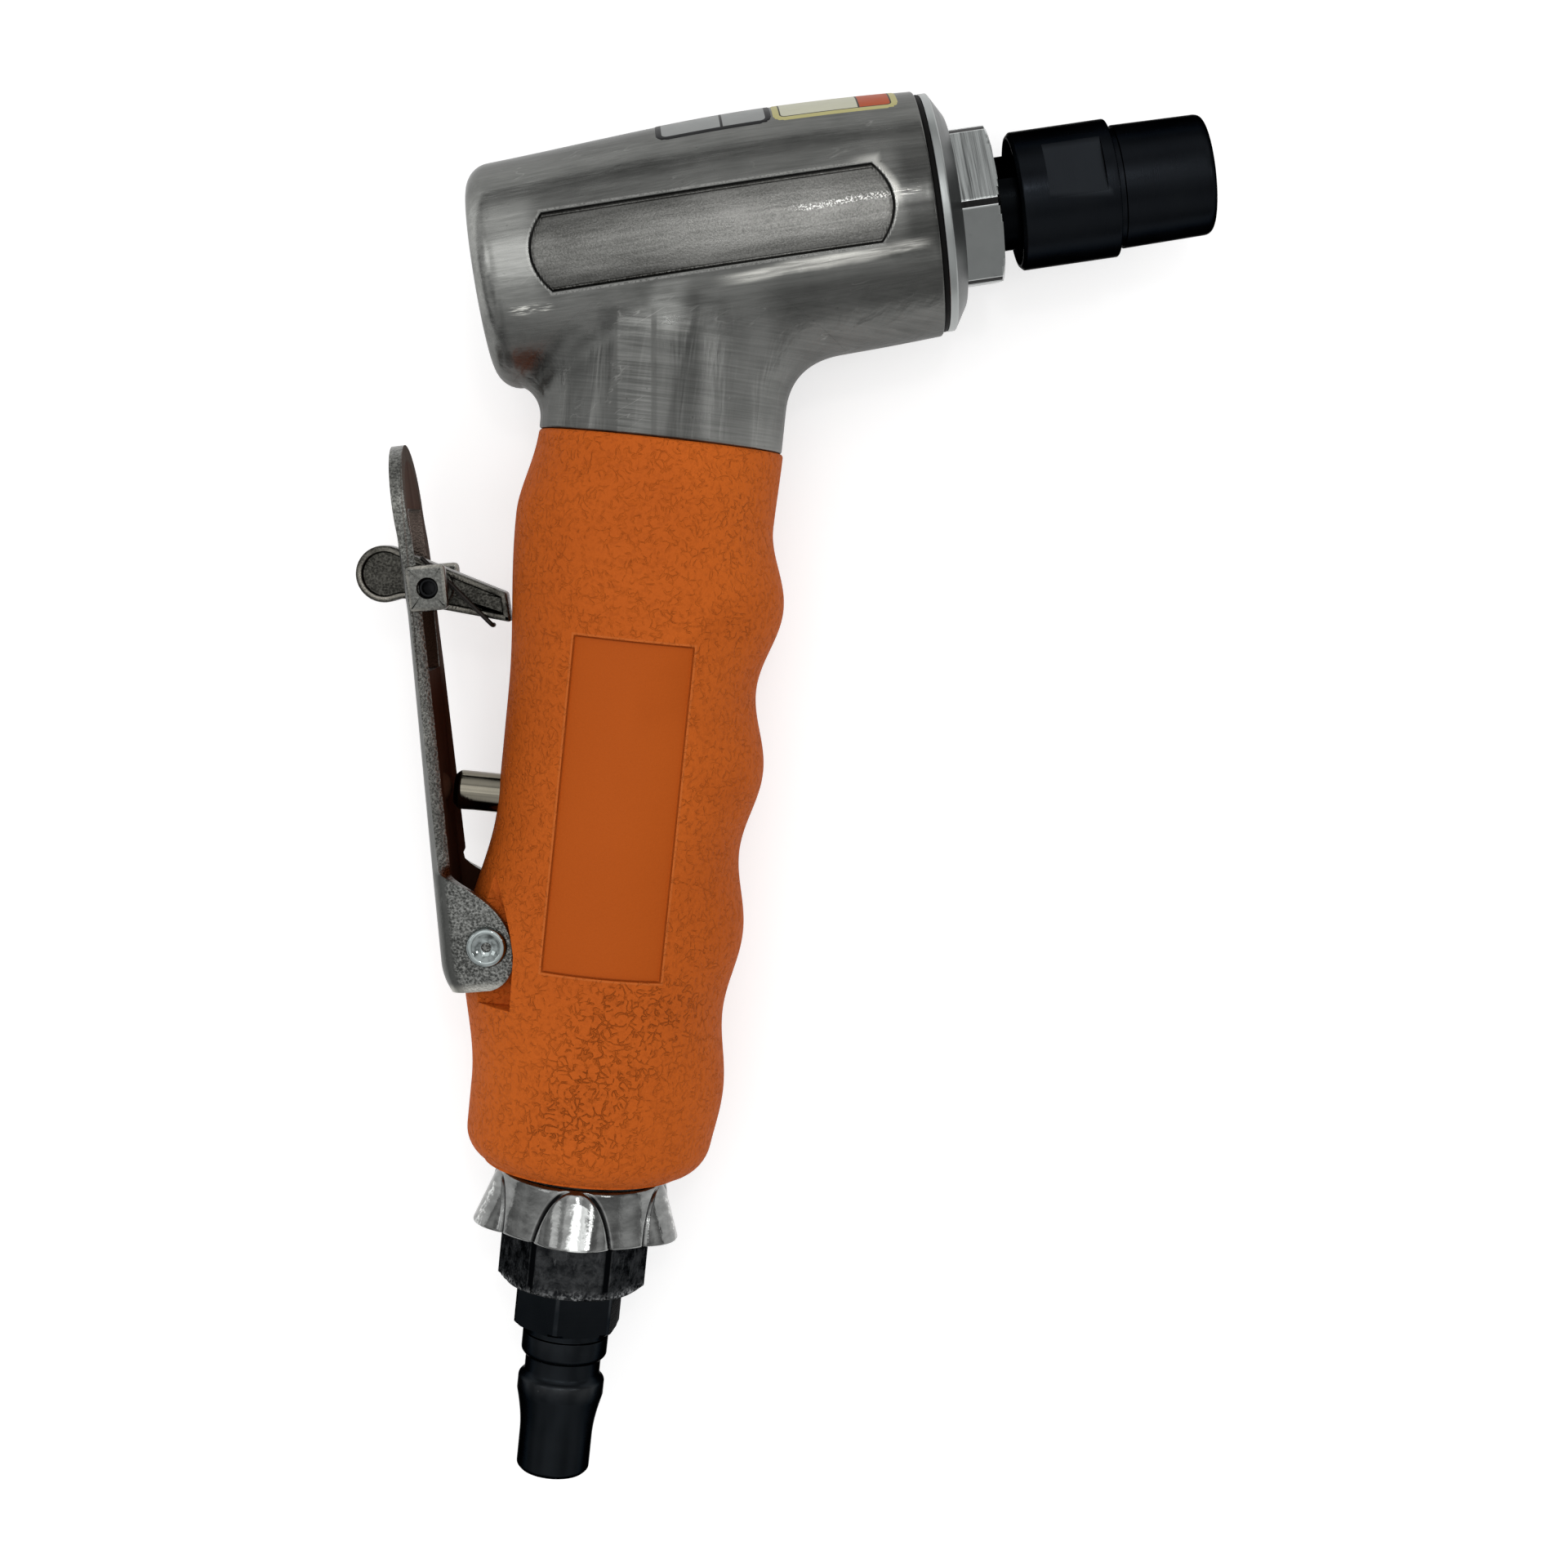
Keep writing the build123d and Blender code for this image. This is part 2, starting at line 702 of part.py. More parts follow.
with BuildPart() as cylinder_liner:
    ring(HEAD, cylinder_start, cylinder_end, motor_r)
    bore = Plane(
        origin=HEAD.from_local_coords((0, -cylinder_offset, 0)), x_dir=HEAD.x_dir, z_dir=HEAD.z_dir
    )
    ring(bore, cylinder_start, cylinder_end, cylinder_bore, mode=Mode.SUBTRACT)
    ring(dowel_spot, dowel_start, dowel_end, dowel_r, mode=Mode.SUBTRACT)
    ring(outlet, -2 * motor_r, -motor_r / 2, outlet_r, mode=Mode.SUBTRACT)
    for way in exhaust_ways:
        ring(way, -2 * motor_r, -motor_r / 4, exhaust_r, mode=Mode.SUBTRACT)
cylinder_liner.part.label = "cylinder_liner"
export_step(cylinder_liner.part, "parts/cylinder_liner.step")

with BuildPart() as front_end_plate:
    ring(HEAD, cylinder_end, front_bearing_end, motor_r)
    ring(HEAD, front_bearing_start, front_bearing_end, front_bearing_r, mode=Mode.SUBTRACT)
    ring(HEAD, cylinder_end, front_bearing_end, front_shaft_r + 1.2, mode=Mode.SUBTRACT)
    ring(dowel_spot, dowel_start, dowel_end, dowel_r, mode=Mode.SUBTRACT)
front_end_plate.part.label = "front_end_plate"
export_step(front_end_plate.part, "parts/front_end_plate.step")

with BuildPart() as locating_dowel:
    ring(dowel_spot, dowel_start, dowel_end, dowel_r)
locating_dowel.part.label = "locating_dowel"
export_step(locating_dowel.part, "parts/locating_dowel.step")

# Rotor with its shafts: the rear bearing sits on a short journal, the collet holder on a stud
with BuildPart() as rotor:
    ring(HEAD, rotor_start, rotor_end, rotor_r)
    ring(HEAD, rear_bearing_start, rotor_start, rear_shaft_r)
    ring(HEAD, rotor_end, front_bearing_end, front_shaft_r)
    ring(HEAD, front_bearing_end, front_bearing_end + stud_length, stud_r)
    for turn in range(vane_count):
        with BuildSketch(across(HEAD, rotor_start, 45 + 360 / vane_count * turn)):
            with Locations((rotor_r - vane_depth / 2, 0)):
                Rectangle(vane_depth, vane_thick + 2 * vane_side_gap)
        extrude(amount=rotor_end - rotor_start, mode=Mode.SUBTRACT)
rotor.part.label = "rotor"
export_step(rotor.part, "parts/rotor.step")

with BuildPart() as rotor_vanes:
    for turn in range(vane_count):
        with BuildSketch(across(HEAD, rotor_start, 45 + 360 / vane_count * turn)):
            with Locations((rotor_r - vane_tip_gap - (vane_depth - vane_tip_gap) / 2, 0)):
                Rectangle(vane_depth - vane_tip_gap, vane_thick)
        extrude(amount=rotor_end - rotor_start)
rotor_vanes.part.label = "rotor_vanes"
export_step(rotor_vanes.part, "parts/rotor_vanes.step")


def bearing(start, width, outer, inner):
    """The rings and the caged balls of a ball bearing on the spindle axis, as three parts."""
    middle = start + width / 2
    pitch_r = (outer + inner) / 2
    ball_r = (outer - inner - race_room) / 2
    with BuildPart() as outer_ring:
        ring(HEAD, start, start + width, outer, outer - race_wall)
    with BuildPart() as inner_ring:
        ring(HEAD, start, start + width, inner + race_wall, inner)
    with BuildPart() as balls:
        ring(HEAD, middle - cage_thick / 2, middle + cage_thick / 2, pitch_r + ball_r / 2,
             pitch_r - ball_r / 2)
        for count in range(ball_count):
            spot = across(HEAD, middle, 360 / ball_count * count)
            with Locations(spot.from_local_coords((pitch_r, 0, 0))):
                Sphere(ball_r)
    return outer_ring.part, inner_ring.part, balls.part


with BuildPart() as rear_bearing_outer:
    add(bearing(rear_bearing_start, rear_bearing_width, rear_bearing_r, rear_shaft_r)[0])
rear_bearing_outer.part.label = "rear_bearing_outer"
export_step(rear_bearing_outer.part, "parts/rear_bearing_outer.step")

with BuildPart() as rear_bearing_inner:
    add(bearing(rear_bearing_start, rear_bearing_width, rear_bearing_r, rear_shaft_r)[1])
rear_bearing_inner.part.label = "rear_bearing_inner"
export_step(rear_bearing_inner.part, "parts/rear_bearing_inner.step")

with BuildPart() as rear_bearing_balls:
    add(bearing(rear_bearing_start, rear_bearing_width, rear_bearing_r, rear_shaft_r)[2])
rear_bearing_balls.part.label = "rear_bearing_balls"
export_step(rear_bearing_balls.part, "parts/rear_bearing_balls.step")

with BuildPart() as front_bearing_outer:
    add(bearing(front_bearing_start, front_bearing_width, front_bearing_r, front_shaft_r)[0])
front_bearing_outer.part.label = "front_bearing_outer"
export_step(front_bearing_outer.part, "parts/front_bearing_outer.step")

with BuildPart() as front_bearing_inner:
    add(bearing(front_bearing_start, front_bearing_width, front_bearing_r, front_shaft_r)[1])
front_bearing_inner.part.label = "front_bearing_inner"
export_step(front_bearing_inner.part, "parts/front_bearing_inner.step")

with BuildPart() as front_bearing_balls:
    add(bearing(front_bearing_start, front_bearing_width, front_bearing_r, front_shaft_r)[2])
front_bearing_balls.part.label = "front_bearing_balls"
export_step(front_bearing_balls.part, "parts/front_bearing_balls.step")

# Head closure: a black seal and the plated clamp nut, whose skirt holds the motor stack
with BuildPart() as head_seal:
    ring(HEAD, head_front, seal_end, head_r_front - seal_inset, motor_r)
head_seal.part.label = "head_seal"
export_step(head_seal.part, "parts/head_seal.step")

with BuildPart() as clamp_nut:
    ring(HEAD, front_bearing_end, seal_end, motor_r)
    spun(
        HEAD,
        (seal_end, 0),
        (seal_end, flange_r),
        (seal_end + flange_rim, flange_r),
        (flange_end, clamp_corner_r + flange_shoulder),
        (flange_end, 0),
    )
    fillet(clamp_nut.edges().filter_by(GeomType.CIRCLE).group_by(SortBy.RADIUS)[-1], flange_round)
    extrude(hexagon(across(HEAD, flange_end, clamp_turn), clamp_hex, clamp_corner_r),
            amount=clamp_hex_length)
    ring(HEAD, front_bearing_end, clamp_end, clamp_bore, mode=Mode.SUBTRACT)
    spun(
        HEAD,
        (clamp_end - clamp_edge, clamp_corner_r),
        (clamp_end, clamp_corner_r - 2 * clamp_edge),
        (clamp_end, clamp_corner_r),
        mode=Mode.SUBTRACT,
    )
    ring(HEAD, front_bearing_end, front_bearing_end + skirt_relief, front_bearing_r - race_wall,
         mode=Mode.SUBTRACT)
clamp_nut.part.label = "clamp_nut"
export_step(clamp_nut.part, "parts/clamp_nut.step")

# Collet holder on the rotor's stud: wrench flats behind the nut, a cone for the collet in front
with BuildPart() as collet_holder:
    ring(HEAD, front_bearing_end, holder_end, holder_r)
    ring(HEAD, front_bearing_end, front_bearing_end + stud_length, stud_r, mode=Mode.SUBTRACT)
    ring(HEAD, front_bearing_end + stud_length, holder_end, holder_bore, mode=Mode.SUBTRACT)
    spun(
        HEAD,
        (collet_back, 0),
        (collet_back, collet_back_r),
        (holder_end, collet_mouth_r),
        (holder_end, 0),
        mode=Mode.SUBTRACT,
    )
    for turn in (holder_flat_turn, holder_flat_turn + 180):
        with BuildSketch(across(HEAD, clamp_end + holder_flat_gap, 90 - turn)):
            with Locations((holder_flat / 2 + holder_r, 0)):
                Rectangle(2 * holder_r, 4 * holder_r)
        extrude(amount=holder_flat_length, mode=Mode.SUBTRACT)
collet_holder.part.label = "collet_holder"
export_step(collet_holder.part, "parts/collet_holder.step")

# Collet: a slotted sleeve with a cone at each end and the bore for the tool's shank
with BuildPart() as collet:
    spun(
        HEAD,
        (collet_back + 2 * collet_ease, shank_r),
        (collet_front, shank_r),
        (collet_front, collet_front_r - collet_ease),
        (holder_end + collet_ease, collet_mouth_r - collet_ease),
        (holder_end, collet_mouth_r - collet_ease),
        (collet_back + 2 * collet_ease, collet_back_r - collet_ease),
    )
    for turn in range(collet_slots):
        with BuildSketch(across(HEAD, collet_back + collet_root, 360 / collet_slots * turn)):
            with Locations((collet_mouth_r, 0)):
                Rectangle(2 * collet_mouth_r, collet_slot)
        extrude(amount=collet_front - collet_back, mode=Mode.SUBTRACT)
collet.part.label = "collet"
export_step(collet.part, "parts/collet.step")

# Collet nut: cupped behind, stepped, with two milled wrench flats and a rounded tip
with BuildPart() as collet_nut:
    with BuildSketch(HEAD):
        with BuildLine():
            rear = Polyline(
                (nut_back + nut_cup, holder_r),
                (nut_back + nut_cup, nut_r - nut_cup_wall),
                (nut_back, nut_r - nut_cup_wall),
                (nut_back, nut_r - nut_chamfer),
                (nut_back + nut_chamfer, nut_r),
                (nut_step, nut_r),
                (nut_step, nut_nose_r - nut_groove),
                (nut_step + nut_groove_width, nut_nose_r - nut_groove),
                (nut_step + nut_groove_width, nut_nose_r),
                (nut_front - nut_round, nut_tip_r),
            )
            tip = TangentArc(
                rear @ 1, (nut_front, nut_tip_r - nut_round), tangent=(1, 0)
            )
            Polyline(
                tip @ 1,
                (nut_front, nut_mouth_r),
                (collet_front + nut_mouth_r - collet_front_r, nut_mouth_r),
                (collet_front, collet_front_r),
                (holder_end, collet_mouth_r),
                (holder_end, holder_r),
                (nut_back + nut_cup, holder_r),
            )
        make_face()
    revolve(axis=Axis(HEAD.origin, HEAD.x_dir))
    for turn in (nut_flat_turn, nut_flat_turn + 180):
        with BuildSketch(across(HEAD, nut_back + nut_flat_in, 90 - turn)):
            with Locations((nut_flat / 2 + nut_r, 0)):
                Rectangle(2 * nut_r, 4 * nut_r)
        extrude(amount=nut_flat_length, mode=Mode.SUBTRACT)
collet_nut.part.label = "collet_nut"
export_step(collet_nut.part, "parts/collet_nut.step")

# Throttle lever: a bent plate with two ears at the foot and two tabs that hold the latch's pin
bend_out = (lever_tip - bend_at) * tan(radians(lever_bend))
round_start = latch_up + round_above
slot_low = latch_up - slot_below
slot_high = latch_up + slot_above
PLAN = Plane(origin=LEVER.origin, x_dir=LEVER.y_dir, z_dir=LEVER.x_dir)

BOSS = Plane(
    origin=LEVER.from_local_coords((boss_in, boss_up, 0)),
    x_dir=LEVER.x_dir,
    z_dir=LEVER.z_dir,
)

with BuildPart() as throttle_lever:
    with BuildSketch(LEVER):
        with BuildLine():
            Polyline(
                (-lever_face, lever_foot),
                (lever_in, lever_foot),
                (lever_in, bend_at),
                (lever_in - bend_out, lever_tip),
                (-lever_face - bend_out, lever_tip),
                (-lever_face, bend_at),
                close=True,
            )
        make_face()
        fillet(vertices().group_by(Axis.Y)[0].sort_by(Axis.X)[0], lever_corner)
    extrude(amount=lever_half, both=True)
    with BuildSketch(PLAN.offset(-2 * lever_face)):
        with BuildLine():
            side = Polyline(
                (lever_foot, -lever_half),
                (lever_taper_start, -lever_half),
                (tab_low - lever_corner, -lever_top_half),
                (round_start, -lever_top_half),
            )
            end = ThreePointArc(side @ 1, (lever_tip, 0), (round_start, lever_top_half))
            Polyline(
                end @ 1,
                (tab_low - lever_corner, lever_top_half),
                (lever_taper_start, lever_half),
                (lever_foot, lever_half),
                side @ 0,
            )
        make_face()
    extrude(amount=2 * lever_face, mode=Mode.INTERSECT)
    # Slot for the latch
    with BuildSketch(PLAN):
        with Locations(((slot_low + slot_high) / 2, 0)):
            RectangleRounded(slot_high - slot_low, 2 * slot_half, lever_corner)
    extrude(amount=2 * lever_half, both=True, mode=Mode.SUBTRACT)
    # Near ear and near tab, mirrored to the far side
    with BuildSketch(LEVER.offset(ear_in)):
        with BuildLine():
            top = Line((-lever_face, ear_top + lever_thick), (0, ear_top - ear_reach))
            nose = ThreePointArc(top @ 1, (ear_reach * 0.8, ear_reach * 0.8), (ear_reach, 0))
            Polyline(
                nose @ 1,
                (ear_reach - lever_corner, lever_foot),
                (-lever_face, lever_foot),
                top @ 0,
            )
        make_face()
        fillet(vertices().group_by(Axis.Y)[0], lever_corner)
    extrude(amount=ear_thick)
    with BuildSketch(LEVER.offset(tab_in)):
        with Locations(((-lever_face - tab_reach) / 2, (tab_low + tab_high) / 2)):
            RectangleRounded(lever_face - tab_reach, tab_high - tab_low, tab_corner)
    extrude(amount=ear_thick)
    mirror(about=SIDE)
    # Domed boss that pushes the valve's stem
    with BuildSketch(BOSS):
        with BuildLine():
            dome = CenterArc((0, 0), boss_r, 0, 90)
            Polyline(dome @ 1, (0, 0), dome @ 0)
        make_face()
    revolve(axis=Axis(BOSS.origin, BOSS.x_dir))
    with Locations(LEVER):
        Cylinder(pin_r + pin_play, 4 * lever_half, mode=Mode.SUBTRACT)
    with Locations(LATCH):
        Cylinder(latch_pin_r, 4 * lever_half, mode=Mode.SUBTRACT)
throttle_lever.part.label = "throttle_lever"
export_step(throttle_lever.part, "parts/throttle_lever.step")

# Lever pin, riveted over both ears with dished heads
with BuildPart() as pivot_pin:
    head_seat = lever_half + 2 * pin_play
    with Locations(LEVER):
        Cylinder(pin_r, 2 * head_seat)
    for face in (LEVER.offset(head_seat), Plane(LEVER.offset(-head_seat).origin, LEVER.x_dir, -LEVER.z_dir)):
        with BuildSketch(face):
            Circle(pin_head_r)
        extrude(amount=pin_head)
        with BuildSketch(face.offset(pin_head)):
            Circle(pin_dish_r)
        extrude(amount=-pin_dish, mode=Mode.SUBTRACT)
    chamfer(
        pivot_pin.edges().filter_by(GeomType.CIRCLE).filter_by(lambda e: abs(e.radius - pin_head_r) < 0.01)
        .sort_by(Axis.Z)[0::3],
        pin_dish,
    )
pivot_pin.part.label = "pivot_pin"
export_step(pivot_pin.part, "parts/pivot_pin.step")

# Safety latch: a thumb lobe and an arm that tapers from it to just short of the grip
arm_drop = (-latch_x - grip_back(latch_y)) * tan(droop)
arm_length = (-latch_x - grip_back(latch_y - arm_drop)) / cos(droop) - arm_gap


def latch_outline(plane, inset=0.0):
    """The side view of the latch, drawn in by an inset: an arc and two lines tangent to it."""
    lobe = thumb_r - inset
    tip = [
        (arm_length - arm_tip_back - inset, arm_half - inset),
        (arm_length - arm_tip_back / 4 - inset, 0),
        (arm_length - 2 * inset, inset - arm_half),
    ]
    angles = []
    for (x, y), side in ((tip[0], 1), (tip[-1], -1)):
        away = dist((x, y), (-thumb_back, 0))
        angles.append(degrees(atan2(y, x + thumb_back) + side * acos(lobe / away)))
    with BuildSketch(plane) as face:
        with BuildLine():
            arc = CenterArc((-thumb_back, 0), lobe, angles[0], 360 + angles[1] - angles[0])
            Polyline(arc @ 1, *tip[::-1], arc @ 0)
        make_face()
    return face.sketch


def latch_sunk(plane):
    """The sunk part of a side of the latch, inside its rim and clear of the boss on the pin."""
    with BuildSketch(plane) as face:
        add(plane.to_local_coords(latch_outline(plane, latch_rim)))
        Circle(latch_boss_r, mode=Mode.SUBTRACT)
    return face.sketch


with BuildPart() as safety_latch:
    extrude(latch_outline(LATCH), amount=latch_half, both=True)
    extrude(latch_sunk(LATCH.offset(latch_half - latch_sink)), amount=latch_sink, mode=Mode.SUBTRACT)
    extrude(latch_sunk(LATCH.offset(-latch_half)), amount=latch_sink, mode=Mode.SUBTRACT)
    with Locations(LATCH):
        Cylinder(latch_pin_r + pin_play, 4 * latch_half, mode=Mode.SUBTRACT)
safety_latch.part.label = "safety_latch"
export_step(safety_latch.part, "parts/safety_latch.step")

# Latch pin: a hollow rolled pin, sunk a little in both tabs
with BuildPart() as latch_pin:
    with Locations(LATCH):
        Cylinder(latch_pin_r, 2 * (lever_top_half - latch_pin_sink))
        Cylinder(latch_pin_bore, 2 * lever_top_half, mode=Mode.SUBTRACT)
latch_pin.part.label = "latch_pin"
export_step(latch_pin.part, "parts/latch_pin.step")

# Latch spring: wound on the pin, one leg hooked under the arm and one foot behind the tab
wind = radians(spring_start)
WOUND = LATCH.offset(spring_low)
with BuildPart() as latch_spring:
    with BuildLine() as latch_wire:
        turns = coil_path(WOUND, spring_coil_r, spring_pitch, spring_turns, wind)
        leg = Line(turns[0] @ 0, turns[0] @ 0 - (turns[0] % 0) * spring_leg)
        bend = TangentArc(
            leg @ 1, leg @ 1 + (leg % 1) * spring_hook_r - LATCH.z_dir * spring_hook_r, tangent=leg % 1
        )
        Line(bend @ 1, bend @ 1 + (bend % 1) * spring_hook)
        Line(turns[-1] @ 1, turns[-1] @ 1 + (turns[-1] % 1) * spring_foot)
    latch_path = latch_wire.wire()
    with BuildSketch(Plane(origin=latch_path @ 0, z_dir=latch_path % 0)):
        Circle(spring_wire / 2)
    sweep(path=latch_path)
latch_gap = self_gap(latch_path, spring_wire, 3 * spring_coil_r)
print("latch spring, least gap to itself:", round(latch_gap, 2))
latch_spring.part.label = "latch_spring"
export_step(latch_spring.part, "parts/latch_spring.step")

# Throttle valve: a stem with a poppet, its guide, seals, seat and spring, and the cap of its bore
with BuildPart() as valve_stem:
    spun(
        VALVE,
        (stem_tip, 0),
        (stem_tip, stem_r - stem_edge),
        (stem_tip + stem_edge, stem_r),
        (neck_start, stem_r),
        (neck_start, stem_neck_r),
        (pad_end, stem_neck_r),
        (pad_end, poppet_r),
        (poppet_end, poppet_r),
        (poppet_end, tail_r),
        (poppet_end + tail_length, tail_r),
        (poppet_end + tail_length, 0),
    )
valve_stem.part.label = "valve_stem"
export_step(valve_stem.part, "parts/valve_stem.step")

with BuildPart() as poppet_seal:
    ring(VALVE, pad_start, pad_end, poppet_r, stem_neck_r)
poppet_seal.part.label = "poppet_seal"
export_step(poppet_seal.part, "parts/poppet_seal.step")

with BuildPart() as valve_bush:
    ring(VALVE, bush_start, bush_end, bush_r)
    ring(VALVE, bush_end - bush_flange, bush_end, chamber_r)
    ring(VALVE, bush_start, bush_end, stem_r + stem_play, mode=Mode.SUBTRACT)
valve_bush.part.label = "valve_bush"
export_step(valve_bush.part, "parts/valve_bush.step")

with BuildPart() as valve_o_ring:
    with BuildSketch(VALVE):
        with Locations((bush_end + ring_wire, stem_r + stem_play + ring_wire)):
            Circle(ring_wire)
    revolve(axis=Axis(VALVE.origin, VALVE.x_dir))
valve_o_ring.part.label = "valve_o_ring"
export_step(valve_o_ring.part, "parts/valve_o_ring.step")

with BuildPart() as valve_seat:
    ring(VALVE, seat_start, seat_start + seat_thick, chamber_r, seat_bore)
valve_seat.part.label = "valve_seat"
export_step(valve_seat.part, "parts/valve_seat.step")

coil_start = poppet_end + valve_coil_gap + valve_wire / 2
coil_end = cap_start - valve_coil_gap - valve_wire / 2
with BuildPart() as valve_spring:
    with BuildLine() as valve_coil:
        coil_path(across(VALVE, coil_start), valve_coil_r, (coil_end - coil_start) / valve_turns,
                  valve_turns, 0)
    valve_path = valve_coil.wire()
    with BuildSketch(Plane(origin=valve_path @ 0, z_dir=valve_path % 0)):
        Circle(valve_wire / 2)
    sweep(path=valve_path)
valve_gap = self_gap(valve_path, valve_wire, 3 * valve_coil_r)
print("valve spring, least gap to itself:", round(valve_gap, 2))
valve_spring.part.label = "valve_spring"
export_step(valve_spring.part, "parts/valve_spring.step")

with BuildPart() as valve_cap:
    ring(VALVE, cap_start, cap_start + cap_length, cap_r)
    with BuildSketch(across(VALVE, cap_start + cap_length)):
        RegularPolygon(radius=cap_key / 2, side_count=6, major_radius=False)
    extrude(amount=-cap_key_depth, mode=Mode.SUBTRACT)
valve_cap.part.label = "valve_cap"
export_step(valve_cap.part, "parts/valve_cap.step")

# Felt rods that quiet the exhaust at the foot of its two ways
with BuildPart() as exhaust_silencer:
    for way in exhaust_ways:
        ring(way, core_bottom, core_bottom + felt_length, exhaust_r - felt_gap)
exhaust_silencer.part.label = "exhaust_silencer"
export_step(exhaust_silencer.part, "parts/exhaust_silencer.step")

# Exhaust deflector: a hollow knob with thumb lobes that turns on the spigot, vented on one side
hub_bore = spigot_r + deflector_play
hub_r = hub_bore + deflector_hub
deflector_r_top = hub_r + deflector_cavity + deflector_wall
deflector_r_bottom = deflector_r_top + deflector_flare
lobe_reach_top = deflector_r_top - lobe_sink
lobe_reach_bottom = deflector_r_bottom + lobe_swell
floor_y = deflector_bottom + deflector_floor
floor_part = (floor_y - deflector_top) / (deflector_bottom - deflector_top)
floor_r = deflector_r_top + (deflector_r_bottom - deflector_r_top) * floor_part
with BuildPart() as exhaust_deflector:
    spun(
        HANDLE,
        (deflector_top, 0),
        (deflector_top, deflector_r_top),
        (deflector_bottom, deflector_r_bottom),
        (deflector_bottom, 0),
    )
    for count in range(lobe_count):
        turn = 90 + 360 / lobe_count * count
        loft([
            disc(across(HANDLE, deflector_bottom, turn), lobe_reach_bottom - lobe_r, lobe_r),
            disc(across(HANDLE, deflector_top, turn), lobe_reach_top - lobe_r, lobe_r),
        ])
    spun(
        HANDLE,
        (deflector_top, hub_r),
        (deflector_top, deflector_r_top - deflector_wall),
        (floor_y, floor_r - deflector_wall),
        (floor_y, hub_r),
        mode=Mode.SUBTRACT,
    )
    ring(HANDLE, deflector_bottom, deflector_top, hub_bore, mode=Mode.SUBTRACT)
    for count in range(vent_count):
        spread = radians(vent_step * (count - (vent_count - 1) / 2))
        way_out = Plane(
            origin=HANDLE.from_local_coords(((floor_y + deflector_top) / 2, 0, 0)),
            x_dir=HANDLE.x_dir,
            z_dir=(sin(spread), 0, -cos(spread)),
        )
        with BuildSketch(way_out.offset(hub_r)):
            Circle(vent_r)
        extrude(amount=lobe_reach_bottom, mode=Mode.SUBTRACT)
exhaust_deflector.part.label = "exhaust_deflector"
export_step(exhaust_deflector.part, "parts/exhaust_deflector.step")

# Hose bushing screwed into the foot, with a strainer disc in its bore
with BuildPart() as inlet_bushing:
    extrude(hexagon(across(HANDLE, plug_top), bushing_hex, bushing_corner_r), amount=bushing_length)
    for end, inward in ((plug_top, bushing_edge), (spigot_bottom, -bushing_edge)):
        spun(
            HANDLE,
            (end + inward / 2, bushing_corner_r),
            (end, bushing_corner_r - bushing_edge),
            (end, bushing_corner_r),
            mode=Mode.SUBTRACT,
        )
    ring(HANDLE, spigot_bottom, spigot_bottom + bushing_thread, bushing_thread_r)
    ring(HANDLE, plug_top, spigot_bottom + bushing_thread, bushing_bore, mode=Mode.SUBTRACT)
    ring(HANDLE, plug_top, plug_top + plug_thread, plug_thread_r, mode=Mode.SUBTRACT)
inlet_bushing.part.label = "inlet_bushing"
export_step(inlet_bushing.part, "parts/inlet_bushing.step")

strainer_end = spigot_bottom + bushing_thread - strainer_thick
with BuildPart() as inlet_strainer:
    ring(HANDLE, strainer_end - strainer_thick, strainer_end, bushing_bore)
    with BuildSketch(across(HANDLE, strainer_end)):
        Circle(strainer_hole)
        with PolarLocations(strainer_circle, 6):
            Circle(strainer_hole)
    extrude(amount=-strainer_thick, mode=Mode.SUBTRACT)
inlet_strainer.part.label = "inlet_strainer"
export_step(inlet_strainer.part, "parts/inlet_strainer.step")

# Quick plug for the hose coupler: hex, collar, catch groove, ridge and a nose that narrows in a curve
plug_hex_end = plug_top - plug_hex_length
collar_end = plug_top - plug_collar_start - plug_collar_length
ridge_start = collar_end - plug_groove_length
ridge_end = ridge_start - plug_ridge_length
nose_start = plug_top - plug_nose_start
plug_end = plug_top - plug_length
with BuildPart() as air_plug:
    ring(HANDLE, plug_top, plug_top + plug_thread, plug_thread_r)
    extrude(hexagon(across(HANDLE, plug_hex_end, plug_turn), plug_hex, plug_corner_r),
            amount=plug_hex_length)
    spun(
        HANDLE,
        (plug_top - plug_edge / 2, plug_corner_r),
        (plug_top, plug_corner_r - plug_edge),
        (plug_top, plug_corner_r),
        mode=Mode.SUBTRACT,
    )
    with BuildSketch(HANDLE):
        with BuildLine():
            upper = Polyline(
                (plug_hex_end, 0),
                (plug_hex_end, plug_neck_r),
                (plug_top - plug_collar_start, plug_neck_r),
                (plug_top - plug_collar_start, plug_collar_r),
                (collar_end + plug_edge, plug_collar_r),
                (collar_end, plug_collar_r - plug_edge),
                (collar_end, plug_groove_r),
                (ridge_start + plug_edge, plug_groove_r),
                (ridge_start, plug_ridge_r),
                (ridge_end, plug_ridge_r),
            )
            slope = (-1, (plug_nose_r - plug_ridge_r) / (ridge_end - nose_start))
            taper = Spline(upper @ 1, (nose_start, plug_nose_r), tangents=[slope, (-1, 0)])
            Polyline(
                taper @ 1,
                (plug_end + plug_edge, plug_nose_r),
                (plug_end, plug_nose_r - plug_edge),
                (plug_end, 0),
                (plug_hex_end, 0),
            )
        make_face()
    revolve(axis=Axis(HANDLE.origin, HANDLE.x_dir))
    ring(HANDLE, plug_end, plug_top + plug_thread, plug_bore, mode=Mode.SUBTRACT)
air_plug.part.label = "air_plug"
export_step(air_plug.part, "parts/air_plug.step")
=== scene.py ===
"""Looks of the air die grinder: every skin is worked out in millimetres from the crossing of its two axes,
x to the front, y up the handle and z to the viewer, and is then put into the part's own frame in metres."""
import json
import bmesh
import bpy
import numpy as np
from mathutils import Matrix, Vector


